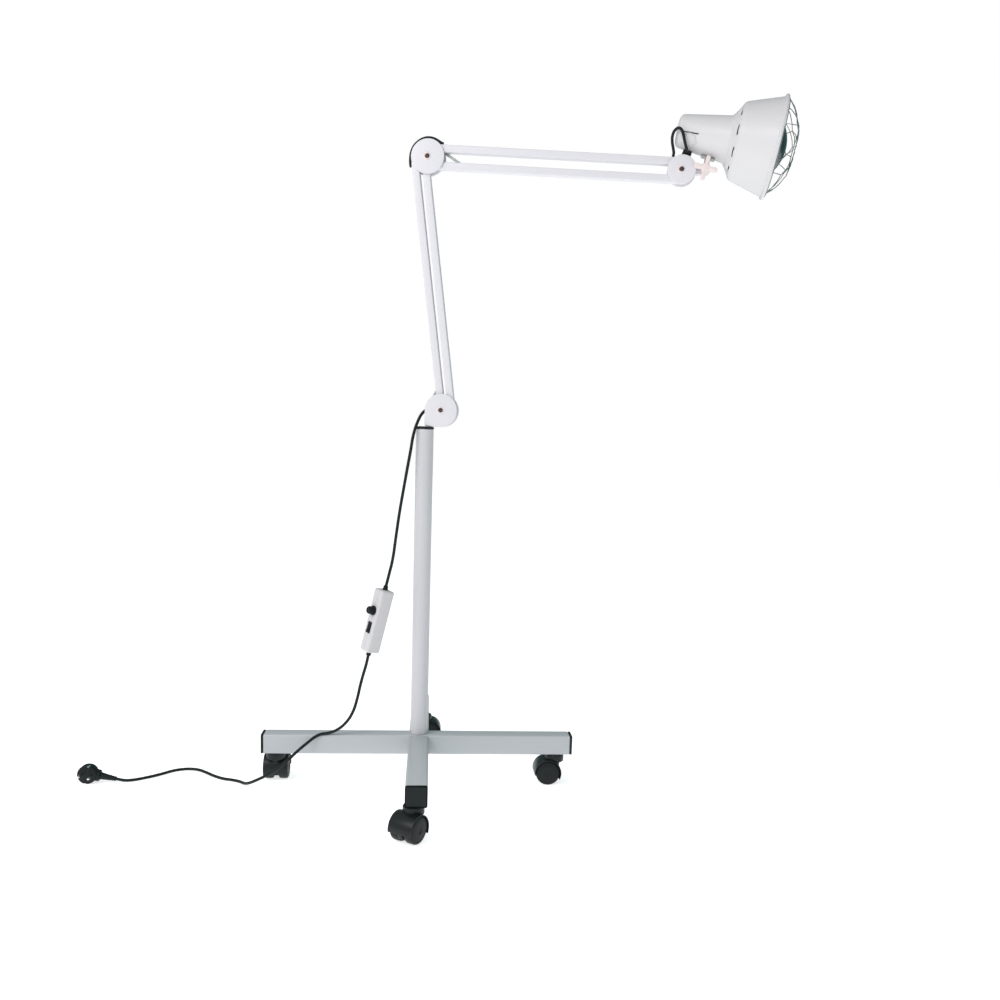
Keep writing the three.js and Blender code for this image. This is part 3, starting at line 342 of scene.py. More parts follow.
def makeFinish(name, colour, metallic=0.0, coat=0.0, specular=0.5, **values):
    material = bpy.data.materials.new(name)
    material.use_nodes = True
    nodes, links = material.node_tree.nodes, material.node_tree.links
    shader = nodes["Principled BSDF"]
    shader.inputs["Metallic"].default_value = metallic
    shader.inputs["Coat Weight"].default_value = coat
    shader.inputs["Coat Roughness"].default_value = finishDefaults["coatRoughness"]
    shader.inputs["Specular IOR Level"].default_value = specular
    finish = nodes.new("ShaderNodeGroup")
    finish.node_tree = finishGroup
    finish.inputs["Colour"].default_value = (*colour, 1)
    for key, value in values.items():
        finish.inputs[key].default_value = value
    links.new(finish.outputs["Colour"], shader.inputs["Base Color"])
    links.new(finish.outputs["Roughness"], shader.inputs["Roughness"])
    links.new(finish.outputs["Normal"], shader.inputs["Normal"])
    material.diffuse_color = (*colour, 1)
    return material


# The last value sets how much pale colour upward faces get: dust, and painted top light
def grained(scale, depth, rough, tint=0.05, spread=0.08, patch=6.0, topLightAndDust=0.0):
    return {
        "Grain Scale": scale, "Grain Depth": depth, "Roughness": rough, "Tint": tint,
        "Roughness Spread": spread, "Patch Scale": patch, "Top Light And Dust": topLightAndDust,
    }


finishes = {
    # the legs' grey paint takes a large share of the pale top colour: painted light on their upper faces,
    # with a little dust
    "greyPaint": makeFinish(
        "greyPaint", (0.47, 0.495, 0.515), coat=0.1, **grained(420, 0.10, 0.42, 0.05, topLightAndDust=0.45)
    ),
    "polePaint": makeFinish("polePaint", (0.60, 0.595, 0.62), coat=0.1, **grained(420, 0.08, 0.38, 0.04)),
    "armPaint": makeFinish("armPaint", (0.715, 0.70, 0.735), coat=0.1, **grained(420, 0.05, 0.44, 0.04)),
    "shadePaint": makeFinish("shadePaint", (0.665, 0.65, 0.66), coat=0.1, **grained(300, 0.06, 0.46, 0.03)),
    "blackPlastic": makeFinish(
        "blackPlastic", (0.006, 0.010, 0.010), specular=0.25, **grained(1400, 0.35, 0.42, 0.3, topLightAndDust=0.002)
    ),
    "casterPlastic": makeFinish(
        "casterPlastic", (0.006, 0.010, 0.010), specular=0.3, **grained(1100, 0.3, 0.38, 0.4, topLightAndDust=0.003)
    ),
    "tread": makeFinish(
        "tread", (0.008, 0.011, 0.011), specular=0.25, **grained(700, 0.4, 0.5, 0.5, topLightAndDust=0.003)
    ),
    "blackRubber": makeFinish(
        "blackRubber", (0.006, 0.010, 0.010), specular=0.25, **grained(900, 0.3, 0.5, 0.3)
    ),
    "darkSteel": makeFinish("darkSteel", (0.10, 0.08, 0.075), metallic=0.9, **grained(800, 0.2, 0.35, 0.4)),
    "zincSteel": makeFinish("zincSteel", (0.36, 0.37, 0.36), metallic=0.8, **grained(600, 0.2, 0.38, 0.3)),
    "linkSteel": makeFinish("linkSteel", (0.40, 0.44, 0.42), metallic=0.4, **grained(600, 0.2, 0.45, 0.2)),
    "washer": makeFinish("washer", (0.82, 0.71, 0.71), specular=0.4, **grained(900, 0.15, 0.45, 0.1)),
    "boxPlastic": makeFinish("boxPlastic", (0.66, 0.635, 0.65), coat=0.15, **grained(1300, 0.2, 0.4, 0.03)),
    "knobPlastic": makeFinish("knobPlastic", (0.80, 0.69, 0.68), coat=0.1, **grained(900, 0.15, 0.42, 0.05)),
    "ceramic": makeFinish("ceramic", (0.84, 0.80, 0.73), coat=0.4, **grained(500, 0.1, 0.25, 0.05)),
    "bulbFace": makeFinish("bulbFace", (0.020, 0.024, 0.028), coat=0.5, **grained(260, 0.25, 0.2, 0.3)),
    "bulbMirror": makeFinish(
        "bulbMirror", (0.75, 0.76, 0.76), metallic=1.0, **grained(200, 0.05, 0.14, 0.05)
    ),
    "brass": makeFinish("brass", (0.55, 0.43, 0.22), metallic=1.0, **grained(500, 0.1, 0.3, 0.1)),
    "guardWire": makeFinish("guardWire", (0.20, 0.27, 0.26), metallic=0.6, **grained(700, 0.2, 0.35, 0.3)),
    "pinMetal": makeFinish("pinMetal", (0.75, 0.74, 0.71), metallic=1.0, **grained(700, 0.1, 0.22, 0.1)),
    "paleFloor": makeFinish("paleFloor", (0.92, 0.92, 0.92), specular=0.05, **grained(60, 0.02, 0.8, 0.01)),
}


def dress(thing, *names):
    thing.data.materials.clear()
    for name in names:
        thing.data.materials.append(finishes[name])
    return thing


def dressNode(node, name):
    dress(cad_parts[node], name)


def place(thing, body, slot, finish, *nodes):
    if finish:
        dress(thing, finish)
    if body:
        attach(thing, body)
    if nodes:
        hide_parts(*nodes)
    return thing


# Puts a piece in its place, smooths it and gives it all it needs
def setPiece(thing, where, angle, body, slot, finish, *nodes):
    return place(smooth(settle(thing, where), angle), body, slot, finish, *nodes)


# Cords: the routes are those of the solids, in millimetres from the pole axis
cordSettings = {
    "diameter": 0.006,
    "upper": [
        (17.3, -6.6, 768), (8.5, -4.8, 767), (-0.4, -3.2, 762.6), (-7.6, -4.4, 754.5),
        (-13.2, -9.4, 743), (-18.9, -14.5, 727), (-23.3, -19, 708), (-26.4, -20, 687), (-33, -22, 647),
        (-39.6, -23.5, 606), (-46, -24.5, 565), (-52.5, -25.5, 515), (-59, -26.5, 465),
        (-66, -27, 434), (-70.53, -27, 414.82),
    ],
    "lower": [
        (-104.48, -27, 271.18), (-108.5, -27, 252), (-114, -26.5, 232), (-119.5, -26, 210),
        (-125.5, -25.5, 182), (-134.5, -24, 153), (-148, -21.8, 131), (-166, -19, 115), (-185, -17.6, 107.5),
        (-198, -20.3, 106.1), (-209, -24, 101.4), (-222, -31, 92.5), (-240, -42.5, 79), (-258, -54, 63.5),
        (-277, -62, 48), (-300, -62.5, 33.5), (-322, -55, 20.5), (-338, -42, 10.5),
        (-350, -27, 4.8), (-362, -13, 3.3), (-378, -3.5, 3.2), (-397, 4, 3.2), (-420, 21, 3.2),
        (-443, 44, 3.2), (-461, 59, 3.2), (-478, 64.5, 3.2), (-495, 62, 3.2), (-510, 53, 3.4),
        (-527, 35, 3.2), (-543, 19, 3.2), (-558, 7, 3.2), (-573, -3.5, 3.4), (-589, -10, 4.4),
        (-605.66, -11, 7.75),
    ],
}


def cordPoints(route):
    return [fromPole(x / 1000, y / 1000, z / 1000) for x, y, z in route]


upperPath = cordPoints(cordSettings["upper"])
lowerPath = cordPoints(cordSettings["lower"])
upperCord = asMesh(alongPath("upperCord", upperPath, cordSettings["diameter"]))
lowerCord = alongPath("lowerCord", lowerPath, cordSettings["diameter"])
place(upperCord, None, "black_rubber", "blackRubber", "cord_upper")
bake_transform(upperCord)
place(lowerCord, "stand", "black_rubber", "blackRubber", "cord_lower")
print("cords laid")

# Frames of the arm, the head, the box and the plug, worked out as the solids are
lampSizes = {
    "armSwivel": -12, "lowerHub": (33.5, 763.9), "elbowHub": (-2.9746, 1242.4389),
    "headHub": (478.0284, 1215.5849), "knuckleReach": 42.7, "headTilt": 10.4, "pivotBehindRim": 117.3,
    "pivotBelowAxis": 61, "lowerLean": 7.57, "upperDrop": 3.4, "jointRadius": 32.3, "headPlateRadius": 26.5,
    "plateInner": 7.5, "plateOuter": 11.5,
}
mm = 0.001


# A frame in the arm's plane, turned about the arm's own Y axis
def armPlace(x, z, turn=0.0):
    swivel = Matrix.Rotation(math.radians(lampSizes["armSwivel"]), 4, "Z")
    swivel = Matrix.Translation((poleX, poleY, 0)) @ swivel
    return swivel @ Matrix.Translation((x * mm, 0, z * mm)) @ Matrix.Rotation(turn, 4, "Y")


lowerHubPlace = armPlace(*lampSizes["lowerHub"])
elbowPlace = armPlace(*lampSizes["elbowHub"])
headHubPlace = armPlace(*lampSizes["headHub"])
headPlace = armPlace(
    lampSizes["headHub"][0] + lampSizes["knuckleReach"], lampSizes["headHub"][1],
    math.radians(lampSizes["headTilt"]),
)
lampAxisPlace = headPlace @ Matrix.Translation(
    (lampSizes["pivotBehindRim"] * mm, 0, lampSizes["pivotBelowAxis"] * mm)
)
cordEnds = {
    "box": (-0.0875, -0.027, 0.343), "boxLean": 13.3, "boxTurn": 37,
    "plug": (-0.660, -0.011, 0.0193), "plugTurn": 12,
}
boxPlace = (
    Matrix.Translation(fromPole(*cordEnds["box"]))
    @ Matrix.Rotation(math.radians(cordEnds["boxLean"]), 4, "Y")
    @ Matrix.Rotation(math.radians(cordEnds["boxTurn"]), 4, "Z")
)
plugTilt = Matrix.Rotation(math.radians(cordEnds["plugTurn"]), 4, "Y")
plugPlace = Matrix.Translation(fromPole(*cordEnds["plug"])) @ plugTilt

# Base: square tubes with rounded edges, weld lines where they meet, and pressed-in caps
baseSettings = {
    "tube": 0.040, "span": 0.6294, "top": 0.104, "corner": 0.004, "half": 0.318, "cap": 0.003, "gap": 0.0003,
    "weld": 0.0011, "weldEdge": 0.0005, "weldWide": 0.8, "weldTall": 0.96,
    "cornerSteps": 6, "tubeEdge": 0.0003, "capEdge": 0.0009,
}


# Rounds the edges that the test picks, by the step from end to end
def roundEdges(thing, chosen):
    pick(thing)
    bpy.ops.object.mode_set(mode="EDIT")
    bpy.ops.mesh.select_all(action="DESELECT")
    bpy.ops.object.mode_set(mode="OBJECT")
    for edge in thing.data.edges:
        a, b = (thing.data.vertices[i].co for i in edge.vertices)
        edge.select = chosen(a - b)
    bpy.ops.object.mode_set(mode="EDIT")
    bpy.ops.mesh.select_mode(type="EDGE")
    bpy.ops.mesh.bevel(offset=baseSettings["corner"], segments=baseSettings["cornerSteps"], affect="EDGES")
    bpy.ops.object.mode_set(mode="OBJECT")


def addLeg(name, length, centre, alongX):
    size = baseSettings["tube"]
    tube = addBlock(name, (length, size, size) if alongX else (size, length, size), centre)
    along = 0 if alongX else 1
    roundEdges(tube, lambda edge: abs(edge[along]) > length / 2)
    return smooth(bevelEdges(tube, baseSettings["tubeEdge"], 2, 50), 40)


def addBase():
    s = baseSettings
    size = s["tube"]
    middle = s["top"] - size / 2
    cross = addLeg("crossTube", s["span"], fromPole(0, 0, middle), True)
    place(cross, "stand", "grey_paint", "greyPaint", "cross_tube")
    legLength = s["span"] / 2 - size / 2 - s["gap"]
    for name, node, side in (("frontLeg", "front_leg", -1), ("rearLeg", "rear_leg", 1)):
        centre = fromPole(0, side * (size / 2 + s["gap"] + legLength / 2), middle)
        leg = addLeg(name, legLength, centre, False)
        place(leg, "stand", "grey_paint", "greyPaint", node)
        seam = fromPole(0, side * (size / 2), middle)
        bead = addBlock(name + "Weld", (size * s["weldWide"], s["weld"], size * s["weldTall"]), seam)
        place(smooth(bevelEdges(bead, s["weldEdge"], 3)), "stand", "grey_paint", "greyPaint")
    for name, x, y in (("Right", 1, 0), ("Left", -1, 0), ("Front", 0, -1), ("Rear", 0, 1)):
        reach = s["half"] - s["cap"] / 2
        centre = fromPole(x * reach, y * reach, middle)
        depth = s["cap"]
        cap = addBlock("endCap" + name, (depth if x else size, depth if y else size, size), centre)
        roundEdges(cap, lambda edge: True)
        cap = smooth(bevelEdges(cap, s["capEdge"], 3, 50), 40)
        node = "end_cap_" + name.lower()
        place(cap, "stand", "black_plastic", "blackPlastic")
        dressNode(node, "blackPlastic")
        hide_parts(node)


addBase()
print("base built")

# Casters: a fender over two wheels, a turret and a stem
casterSettings = {
    "radius": 0.025, "wheelWidth": 0.019, "inner": 0.0055, "trail": 0.022, "reach": 0.292, "hood": 0.0258,
    "hoodWall": 0.0020, "pair": 0.050, "turret": 0.011, "top": 0.0637,
    "crown": 0.0195, "crownDepth": 0.017, "crownPlace": (0.0075, 0, 0.0548), "crownEdge": 0.0028,
    "fenderTurns": (-8, 207), "webTurns": (-31, 242), "webHalf": 0.005, "sheetEdge": 0.0006,
    "rib": (0.026, 0.010, 0.030), "ribShare": 0.45, "ribRise": 0.0415, "stem": 0.005, "stemTop": 0.084,
    "axleRadius": 0.0029, "axleLength": 0.030,
    "turns": {"right": 180, "left": 90, "front": -125, "rear": 0},
}


def wheelProfile(s):
    radius, inner, outer = s["radius"], s["inner"], s["inner"] + s["wheelWidth"]
    return [
        (0, inner), (radius - 0.003, inner), (radius - 0.0012, inner + 0.0008), (radius, inner + 0.0035),
        (radius, outer - 0.0045), (radius - 0.0008, outer - 0.0022), (radius - 0.0026, outer - 0.0008),
        (radius - 0.0046, outer - 0.0004), (radius - 0.0052, outer - 0.0009),
        (radius - 0.0060, outer - 0.0006),
        (radius * 0.5, outer), (radius * 0.25, outer + 0.0001),
        (radius * 0.22, outer - 0.0008), (0, outer - 0.0009),
    ]


def fenderSection(s, count):
    start, end = (math.radians(turn) for turn in s["fenderTurns"])
    outer = arcPoints(s["hood"] + s["hoodWall"], start, end - start, count)
    return outer + arcPoints(s["hood"], start, end - start, count)[::-1]


# An outline in X and Z, filled and extruded along Y from y0 to y1
def extrudeOutline(name, outline, y0, y1):
    deselectAll()
    bpy.ops.mesh.primitive_circle_add(vertices=len(outline), radius=1, fill_type="NGON")
    sheet = nameIt(name)
    for vertex, (x, z) in zip(sheet.data.vertices, outline):
        vertex.co = (x, y0, z)
    bpy.ops.object.mode_set(mode="EDIT")
    bpy.ops.mesh.select_all(action="SELECT")
    bpy.ops.mesh.extrude_region_move(TRANSFORM_OT_translate={"value": (0, y1 - y0, 0)})
    bpy.ops.mesh.select_all(action="SELECT")
    bpy.ops.mesh.normals_make_consistent(inside=False)
    bpy.ops.object.mode_set(mode="OBJECT")
    return sheet


def addCaster(label):
    s = casterSettings
    x, y = {"right": (1, 0), "left": (-1, 0), "front": (0, -1), "rear": (0, 1)}[label]
    stand = Matrix.Translation(fromPole(x * s["reach"], y * s["reach"], 0))
    stand = stand @ Matrix.Rotation(math.radians(s["turns"][label]), 4, "Z")
    axle = (s["trail"], 0, s["radius"])
    half = s["pair"] / 2
    fender = shifted(extrudeOutline("fender", fenderSection(s, 40), -half, half), axle)
    bevelEdges(fender, s["sheetEdge"], 3, 50)
    webStart, webSweep = (math.radians(turn) for turn in s["webTurns"])
    webOutline = arcPoints(s["hood"], webStart, webSweep, 32)
    web = shifted(extrudeOutline("web", webOutline, -s["webHalf"], s["webHalf"]), axle)
    bevelEdges(web, s["sheetEdge"], 2, 50)
    turret = spinProfile("turret", [
        (0, 0.050), (s["turret"], 0.050), (s["turret"], 0.0600), (s["turret"] - 0.0006, s["top"] - 0.0012),
        (s["turret"] - 0.0015, s["top"]), (s["stem"], s["top"]), (s["stem"], s["stemTop"]), (0, s["stemTop"]),
    ], 40)
    rib = addBlock("rib", s["rib"], (s["trail"] * s["ribShare"], 0, s["ribRise"]))
    bevelEdges(rib, 0.001, 2)
    crown = addDrum("crown", s["crown"], s["crownDepth"], s["crownPlace"], sides=56)
    bevelEdges(crown, s["crownEdge"], 4)
    hood = joinPieces("casterHood" + label.capitalize(), fender, web, turret, rib, crown)
    node = "caster_" + label
    setPiece(hood, stand, 40, "caster_fork_" + label, "black_plastic", "casterPlastic", node + "_hood")
    for side, tag, nodeTag in ((-1, "Outer", "axle_side"), (1, "Inner", "far_side")):
        wheel = spinProfile("wheel", wheelProfile(s), 64)
        shifted(turned(wheel, side * -quarterTurn, 0, 0), axle)
        wheel.name = "casterWheel" + label.capitalize() + tag
        setPiece(wheel, stand, 32, "caster_wheels_" + label, "tread", "tread", node + "_wheel_" + nodeTag)
    pin = addDrum("axle" + label.capitalize(), s["axleRadius"], s["axleLength"], axle, "Y", 24)
    setPiece(pin, stand, 35, "caster_wheels_" + label, "zinc_steel", "zincSteel")


for label in casterSettings["turns"]:
    addCaster(label)
print("casters built")

# Pole and collar
poleSettings = {
    "radius": 0.0175, "bore": 0.0155, "foot": 0.1043, "top": 0.726,
    "collarRadius": 0.0185, "collarTop": 0.7313, "collarBore": 0.0137, "skirt": 0.0152, "skirtFoot": 0.7042,
}


def addPole():
    s = poleSettings
    poleAxis = Matrix.Translation((poleX, poleY, 0))
    pole = spinProfile("polePipe", [
        (s["bore"], s["foot"]), (s["radius"] - 0.0004, s["foot"]), (s["radius"], s["foot"] + 0.0005),
        (s["radius"], s["top"] - 0.0006), (s["radius"] - 0.0005, s["top"]),
        (s["bore"], s["top"]), (s["bore"], s["foot"]),
    ], 96, True)
    setPiece(pole, poleAxis, 30, "stand", "pole_paint", "polePaint", "pole")
    collar = spinProfile("collar", [
        (s["collarBore"], s["skirtFoot"]), (s["skirt"], s["skirtFoot"]), (s["skirt"], s["top"] + 0.0003),
        (0.0166, s["top"] + 0.0003), (0.0177, s["top"] + 0.0008), (0.0184, s["top"] + 0.0018),
        (s["collarRadius"], s["top"] + 0.0029), (0.0184, s["collarTop"] - 0.0018),
        (0.0177, s["collarTop"] - 0.0008), (0.0166, s["collarTop"]),
        (s["collarBore"], s["collarTop"]), (s["collarBore"], s["skirtFoot"]),
    ], 80, True)
    setPiece(collar, poleAxis, 40, "stand", "black_plastic", "blackPlastic", "collar_ring")
    dressNode("pole_bolt", "zincSteel")


addPole()
print("pole built")

# Joint plates with rolled rims, screws with a crossed slot
plateSettings = {
    "thickness": 0.004, "round": 0.0009, "screwRadius": 0.0046, "screwHeight": 0.0024, "slot": 0.0013,
    # the washer's sideways shift puts its pale crescent left of the screw: a painted glint
    "ringRadius": 0.0072, "ringHole": 0.0038, "paintedGlintShift": -0.0013, "slotLength": 0.0052,
    "shank": 0.0039, "nut": 0.0065, "nutHeight": 0.005, "washer": 0.0075, "washerHeight": 0.0008,
    "pin": 0.0025, "cornerLeft": 0.92, "cornerFoot": 0.45,
}


def addPlate(name, radius, side, squareCorner=False):
    s = plateSettings
    inner = lampSizes["plateInner"] * mm
    if squareCorner:
        outline = [(-radius, -radius * s["cornerLeft"]), (-radius * s["cornerFoot"], -radius)]
        outline += arcPoints(radius, -quarterTurn, quarterTurn * 3, 72)
    else:
        outline = arcPoints(radius, 0.0, fullTurn, 96)[:-1]
    y0 = -inner - s["thickness"] if side < 0 else inner
    plate = extrudeOutline(name, outline, y0, y0 + s["thickness"])
    return bevelEdges(plate, s["round"], 4, 40)


# A pan head in front with a crossed recess, a shank, and a nut behind, along Y
def addScrew(name):
    s = plateSettings
    front = (lampSizes["plateOuter"] + 0.3) * mm
    head = spinProfile(name, [
        (0, 0), (s["screwRadius"], 0), (s["screwRadius"], 0.0009), (s["screwRadius"] * 0.93, 0.0016),
        (s["screwRadius"] * 0.75, 0.0022), (s["screwRadius"] * 0.45, s["screwHeight"]), (0, s["screwHeight"]),
    ], 40)
    bars = [
        addBlock("slotBar", (s["slot"], s["slotLength"], 0.003), (0, 0, s["screwHeight"] + 0.0005)),
        addBlock("slotBar", (s["slotLength"], s["slot"], 0.003), (0, 0, s["screwHeight"] + 0.0005)),
    ]
    cutOut(head, *bars)
    shifted(turned(head, quarterTurn, 0, 0), (0, -front, 0))
    shank = addDrum("shank", s["shank"], 2 * front + 0.004, (0, 0.001, 0), "Y", 32)
    nut = addDrum("nut", s["nut"], s["nutHeight"], (0, front + s["nutHeight"] / 2, 0), "Y", 6)
    bevelEdges(nut, 0.0004, 2)
    washer = addDrum("washer", s["washer"], s["washerHeight"], (0, front + 0.0002, 0), "Y", 40)
    screw = joinPieces(name, head, shank, nut, washer)
    return smooth(screw, 35)


# The pale washer under the screw head, set a little off centre to the left so that its bright crescent there
# is a painted glint
def addRing(name):
    s = plateSettings
    front = (lampSizes["plateOuter"] + 0.05) * mm
    ring = spinProfile(name, [
        (s["ringHole"], 0), (s["ringRadius"], 0), (s["ringRadius"], 0.0006),
        (s["ringRadius"] - 0.0006, 0.0011), (s["ringHole"], 0.0011), (s["ringHole"], 0),
    ], 48, True)
    return smooth(shifted(turned(ring, quarterTurn, 0, 0), (s["paintedGlintShift"], -front, 0)), 35)


def addSpacer(name, x, z):
    inner = lampSizes["plateInner"] * mm
    return addDrum(name, plateSettings["pin"], 2 * inner - 0.0002, (x * mm, 0, z * mm), "Y", 24)


def addJoint(title, where, radius, body, nodes, pins, squareCorner=False):
    front = addPlate(title + "PlateFront", radius, -1, squareCorner)
    rear = addPlate(title + "PlateRear", radius, 1, squareCorner)
    spacers = [addSpacer("pin", x, z) for x, z in pins]
    rear = joinPieces(title + "PlateRear", rear, *spacers)
    screw = addScrew(title + "Screw")
    for thing, finish, slot, node in (
        (front, "armPaint", "arm_paint", nodes[0]), (rear, "armPaint", "arm_paint", nodes[1]),
        (screw, "darkSteel", "dark_steel", nodes[2]),
    ):
        setPiece(thing, where, 35, body, slot, finish, node)
    place(settle(addRing(title + "Ring"), where), body, "arm_paint", "washer")


lowerPins = [(-2, 16), (18.2, 16), (-24, 15)]
elbowPins = [(-25.4, -12), (-5.2, -12), (21, 15.8), (21, -15.8)]
headPins = [(-8, 15.8), (-8, -15.8)]
addJoint("lowerJoint", lowerHubPlace, lampSizes["jointRadius"] * mm, "arm_bracket",
         ["lower_joint_plate_front", "lower_joint_plate_rear", "lower_joint_bolt"], lowerPins, True)
addJoint("elbow", elbowPlace, lampSizes["jointRadius"] * mm, "elbow",
         ["elbow_plate_front", "elbow_plate_rear", "elbow_bolt"], elbowPins)
addJoint("headJoint", headHubPlace, lampSizes["headPlateRadius"] * mm, "head_bracket",
         ["head_plate_front", "head_plate_rear", "head_joint_bolt"], headPins)

blockSettings = {
    "radius": 0.0323, "half": 0.0072, "left": -0.0320, "right": 0.018, "toe": 0.006, "cut": 0.012,
    "boss": 0.009, "bossTop": 0.00675, "bossFoot": 0.0135, "drop": 0.009, "spigot": 0.0134,
    "spigotLength": 0.060, "edge": 0.0010,
}


# The pressed block between the lower plates, on the spigot that turns in the pole
def addSwivelStem():
    s = blockSettings
    low = -s["radius"]
    outline = [
        (s["left"], low), (s["toe"], low), (s["right"], low + s["cut"]), (s["right"], 0),
        (s["boss"], s["bossTop"]), (-s["boss"], s["bossTop"]), (-s["bossFoot"], -s["drop"]),
        (s["left"], -s["drop"]),
    ]
    block = bevelEdges(extrudeOutline("swivelStem", outline, -s["half"], s["half"]), s["edge"], 4, 25)
    top = low + 0.0006
    spigot = spinProfile("spigot", [
        (0, low - s["spigotLength"]), (s["spigot"] - 0.001, low - s["spigotLength"]),
        (s["spigot"], low - s["spigotLength"] + 0.001), (s["spigot"], top - 0.0004),
        (s["spigot"] - 0.0004, top), (0, top),
    ], 48)
    shifted(spigot, (-lampSizes["lowerHub"][0] * mm, 0, 0))
    stem = joinPieces("swivelStem", block, spigot)
    setPiece(stem, lowerHubPlace, 35, "arm_bracket", "arm_paint", "armPaint", "swivel_stem")


knuckleSettings = {
    "half": 0.005, "hub": 0.008, "eye": 0.009, "eyeSpread": 118, "edge": 0.0011, "sleeve": 0.0144,
}


def addKnuckle():
    s = knuckleSettings
    reach = lampSizes["knuckleReach"] * mm
    spread = math.radians(s["eyeSpread"])
    outline = arcPoints(s["hub"], quarterTurn, math.pi, 16)
    outline += arcPoints(s["eye"], -spread, 2 * spread, 28, reach)
    bar = bevelEdges(extrudeOutline("knuckle", outline, -s["half"], s["half"]), s["edge"], 4, 30)
    sleeve = bevelEdges(addDrum("sleeve", s["hub"], s["sleeve"], axis="Y"), 0.0005, 3)
    knuckle = joinPieces("knuckle", bar, sleeve)
    setPiece(knuckle, headHubPlace, 35, "head_bracket", "arm_paint", "armPaint", "knuckle")


addSwivelStem()
addKnuckle()
print("joints built")

# Arm tubes: rounded square tube with rounded ends, slots where the balance links enter
tubeSettings = {
    "size": 0.014, "corner": 0.0016, "lower": 0.4545, "upper": 0.4528,
    "slotWidth": 0.0037, "slotDepth": 0.008,
    "lowerSlot": (-0.009, 0.038, 1), "topSlot": (0.004, 0.022, -1), "bottomSlot": (0.004, 0.074, 1),
    "lowerLink": 0.0304, "upperLink": 0.0531, "lowerLinkTurn": 35, "upperLinkTurn": 30, "linkPlane": 0.003,
    "linkHalf": 0.0025, "linkFaces": (0.00175, 0.00425), "linkThickness": 0.0025, "eye": 0.005,
    "linkEdge": 0.0004,
}


# A strip with two round ends, from its first pin along +X
def barOutline(length, half, count=10):
    outline = arcPoints(half, quarterTurn, math.pi, count)
    return outline + arcPoints(half, -quarterTurn, math.pi, count, length)


# The tube's own frame is at its first pin, with +X along the tube
def addArmTube(name, length, slots=()):
    s = tubeSettings
    half = s["size"] / 2
    tube = extrudeOutline(name, barOutline(length, half), -half, half)
    cutters = []
    for start, end, side in slots:
        middle = ((start + end) / 2, s["linkPlane"], side * half)
        cutters.append(addBlock("slot", (end - start, s["slotWidth"], s["slotDepth"]), middle))
    bevelEdges(tube, s["corner"], 4, 40)
    return cutOut(tube, *cutters)


def addArms():
    s = tubeSettings
    lean = -(quarterTurn + math.radians(lampSizes["lowerLean"]))
    drop = math.radians(lampSizes["upperDrop"])
    hubX, hubZ = lampSizes["lowerHub"]
    elbowX, elbowZ = lampSizes["elbowHub"]
    topPin = (elbowX + 21, elbowZ + 15.8)
    for name, length, slots, where, body, node in (
        ("lowerTubeLeft", s["lower"], [s["lowerSlot"]], (hubX - 2, hubZ + 16, lean),
         "lower_arm_left", "lower_tube_left"),
        ("lowerTubeRight", s["lower"], [], (hubX + 18.2, hubZ + 16, lean),
         "lower_arm_right", "lower_tube_right"),
        ("upperTubeTop", s["upper"], [s["topSlot"]], (*topPin, drop),
         "upper_arm_top", "upper_tube_top"),
        ("upperTubeBottom", s["upper"], [s["bottomSlot"]], (elbowX + 21, elbowZ - 15.8, drop),
         "upper_arm_bottom", "upper_tube_bottom"),
    ):
        tube = addArmTube(name, length, slots)
        setPiece(tube, armPlace(*where), 35, body, "arm_paint", "armPaint", node)
    for name, length, where, body, node in (
        ("lowerLink", s["lowerLink"], (hubX - 24, hubZ + 15, lean + math.radians(s["lowerLinkTurn"])),
         "lower_balance_link", "lower_link"),
        ("upperLink", s["upperLink"], (*topPin, drop + math.radians(s["upperLinkTurn"])),
         "upper_balance_link", "upper_link"),
    ):
        strip = extrudeOutline(name, barOutline(length, s["linkHalf"]), *s["linkFaces"])
        eye = addDrum("eye", s["eye"], s["linkThickness"], (0, s["linkPlane"], 0), "Y", 32)
        edge = s["linkEdge"]
        strip = joinPieces(name, bevelEdges(strip, edge, 2, 40), bevelEdges(eye, edge, 2, 40))
        setPiece(strip, armPlace(*where), 35, body, "zinc_steel", "linkSteel", node)
    dressNode("lower_balance_spring", "zincSteel")
    dressNode("upper_balance_spring", "zincSteel")


addArms()
print("arms built")

# Leads on the arm
leadSettings = {
    "diameter": 0.0054,
    "elbow": [
        (-34.6, -17), (-35.2, -14.2), (-35.9, -7), (-35.9, 0), (-35, 7.5), (-32.6, 15.3), (-28.2, 23),
        (-21.8, 29.4), (-14, 34), (-5, 36.5), (3, 36.5), (11, 34.4), (18.4, 30.6), (24.4, 26.8), (28.4, 25.4),
    ],
    "elbowSplit": 7,
    "head": [
        (-17, -2.5, 24.6), (-16, -4, 30.4), (-17.6, -8, 38), (-20, -14, 47), (-20, -22, 57),
        (-15.5, -30, 63.6), (-9.2, -35.5, 64.4), (-3.8, -37.2, 59), (-0.8, -37.2, 50.5),
        (1.8, -34, 42), (5, -26.5, 34.9), (7.6, -16, 31), (7.9, -6.4, 30),
    ],
}


def addLeads():
    points = [elbowPlace @ Vector((x * mm, 0, z * mm)) for x, z in leadSettings["elbow"]]
    split = leadSettings["elbowSplit"]
    first = asMesh(alongPath("elbowLeadLower", points[:split + 1], leadSettings["diameter"]))
    second = asMesh(alongPath("elbowLeadUpper", points[split:], leadSettings["diameter"]))
    place(first, None, "black_rubber", "blackRubber", "elbow_lead")
    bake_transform(first)
    place(second, None, "black_rubber", "blackRubber", "elbow_lead")
    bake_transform(second)
    headPoints = [headHubPlace @ Vector((x * mm, y * mm, z * mm)) for x, y, z in leadSettings["head"]]
    lead = asMesh(alongPath("headLead", headPoints, leadSettings["diameter"]))
    place(lead, None, "black_rubber", "blackRubber", "head_lead")
    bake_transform(lead)


addLeads()
print("leads laid")

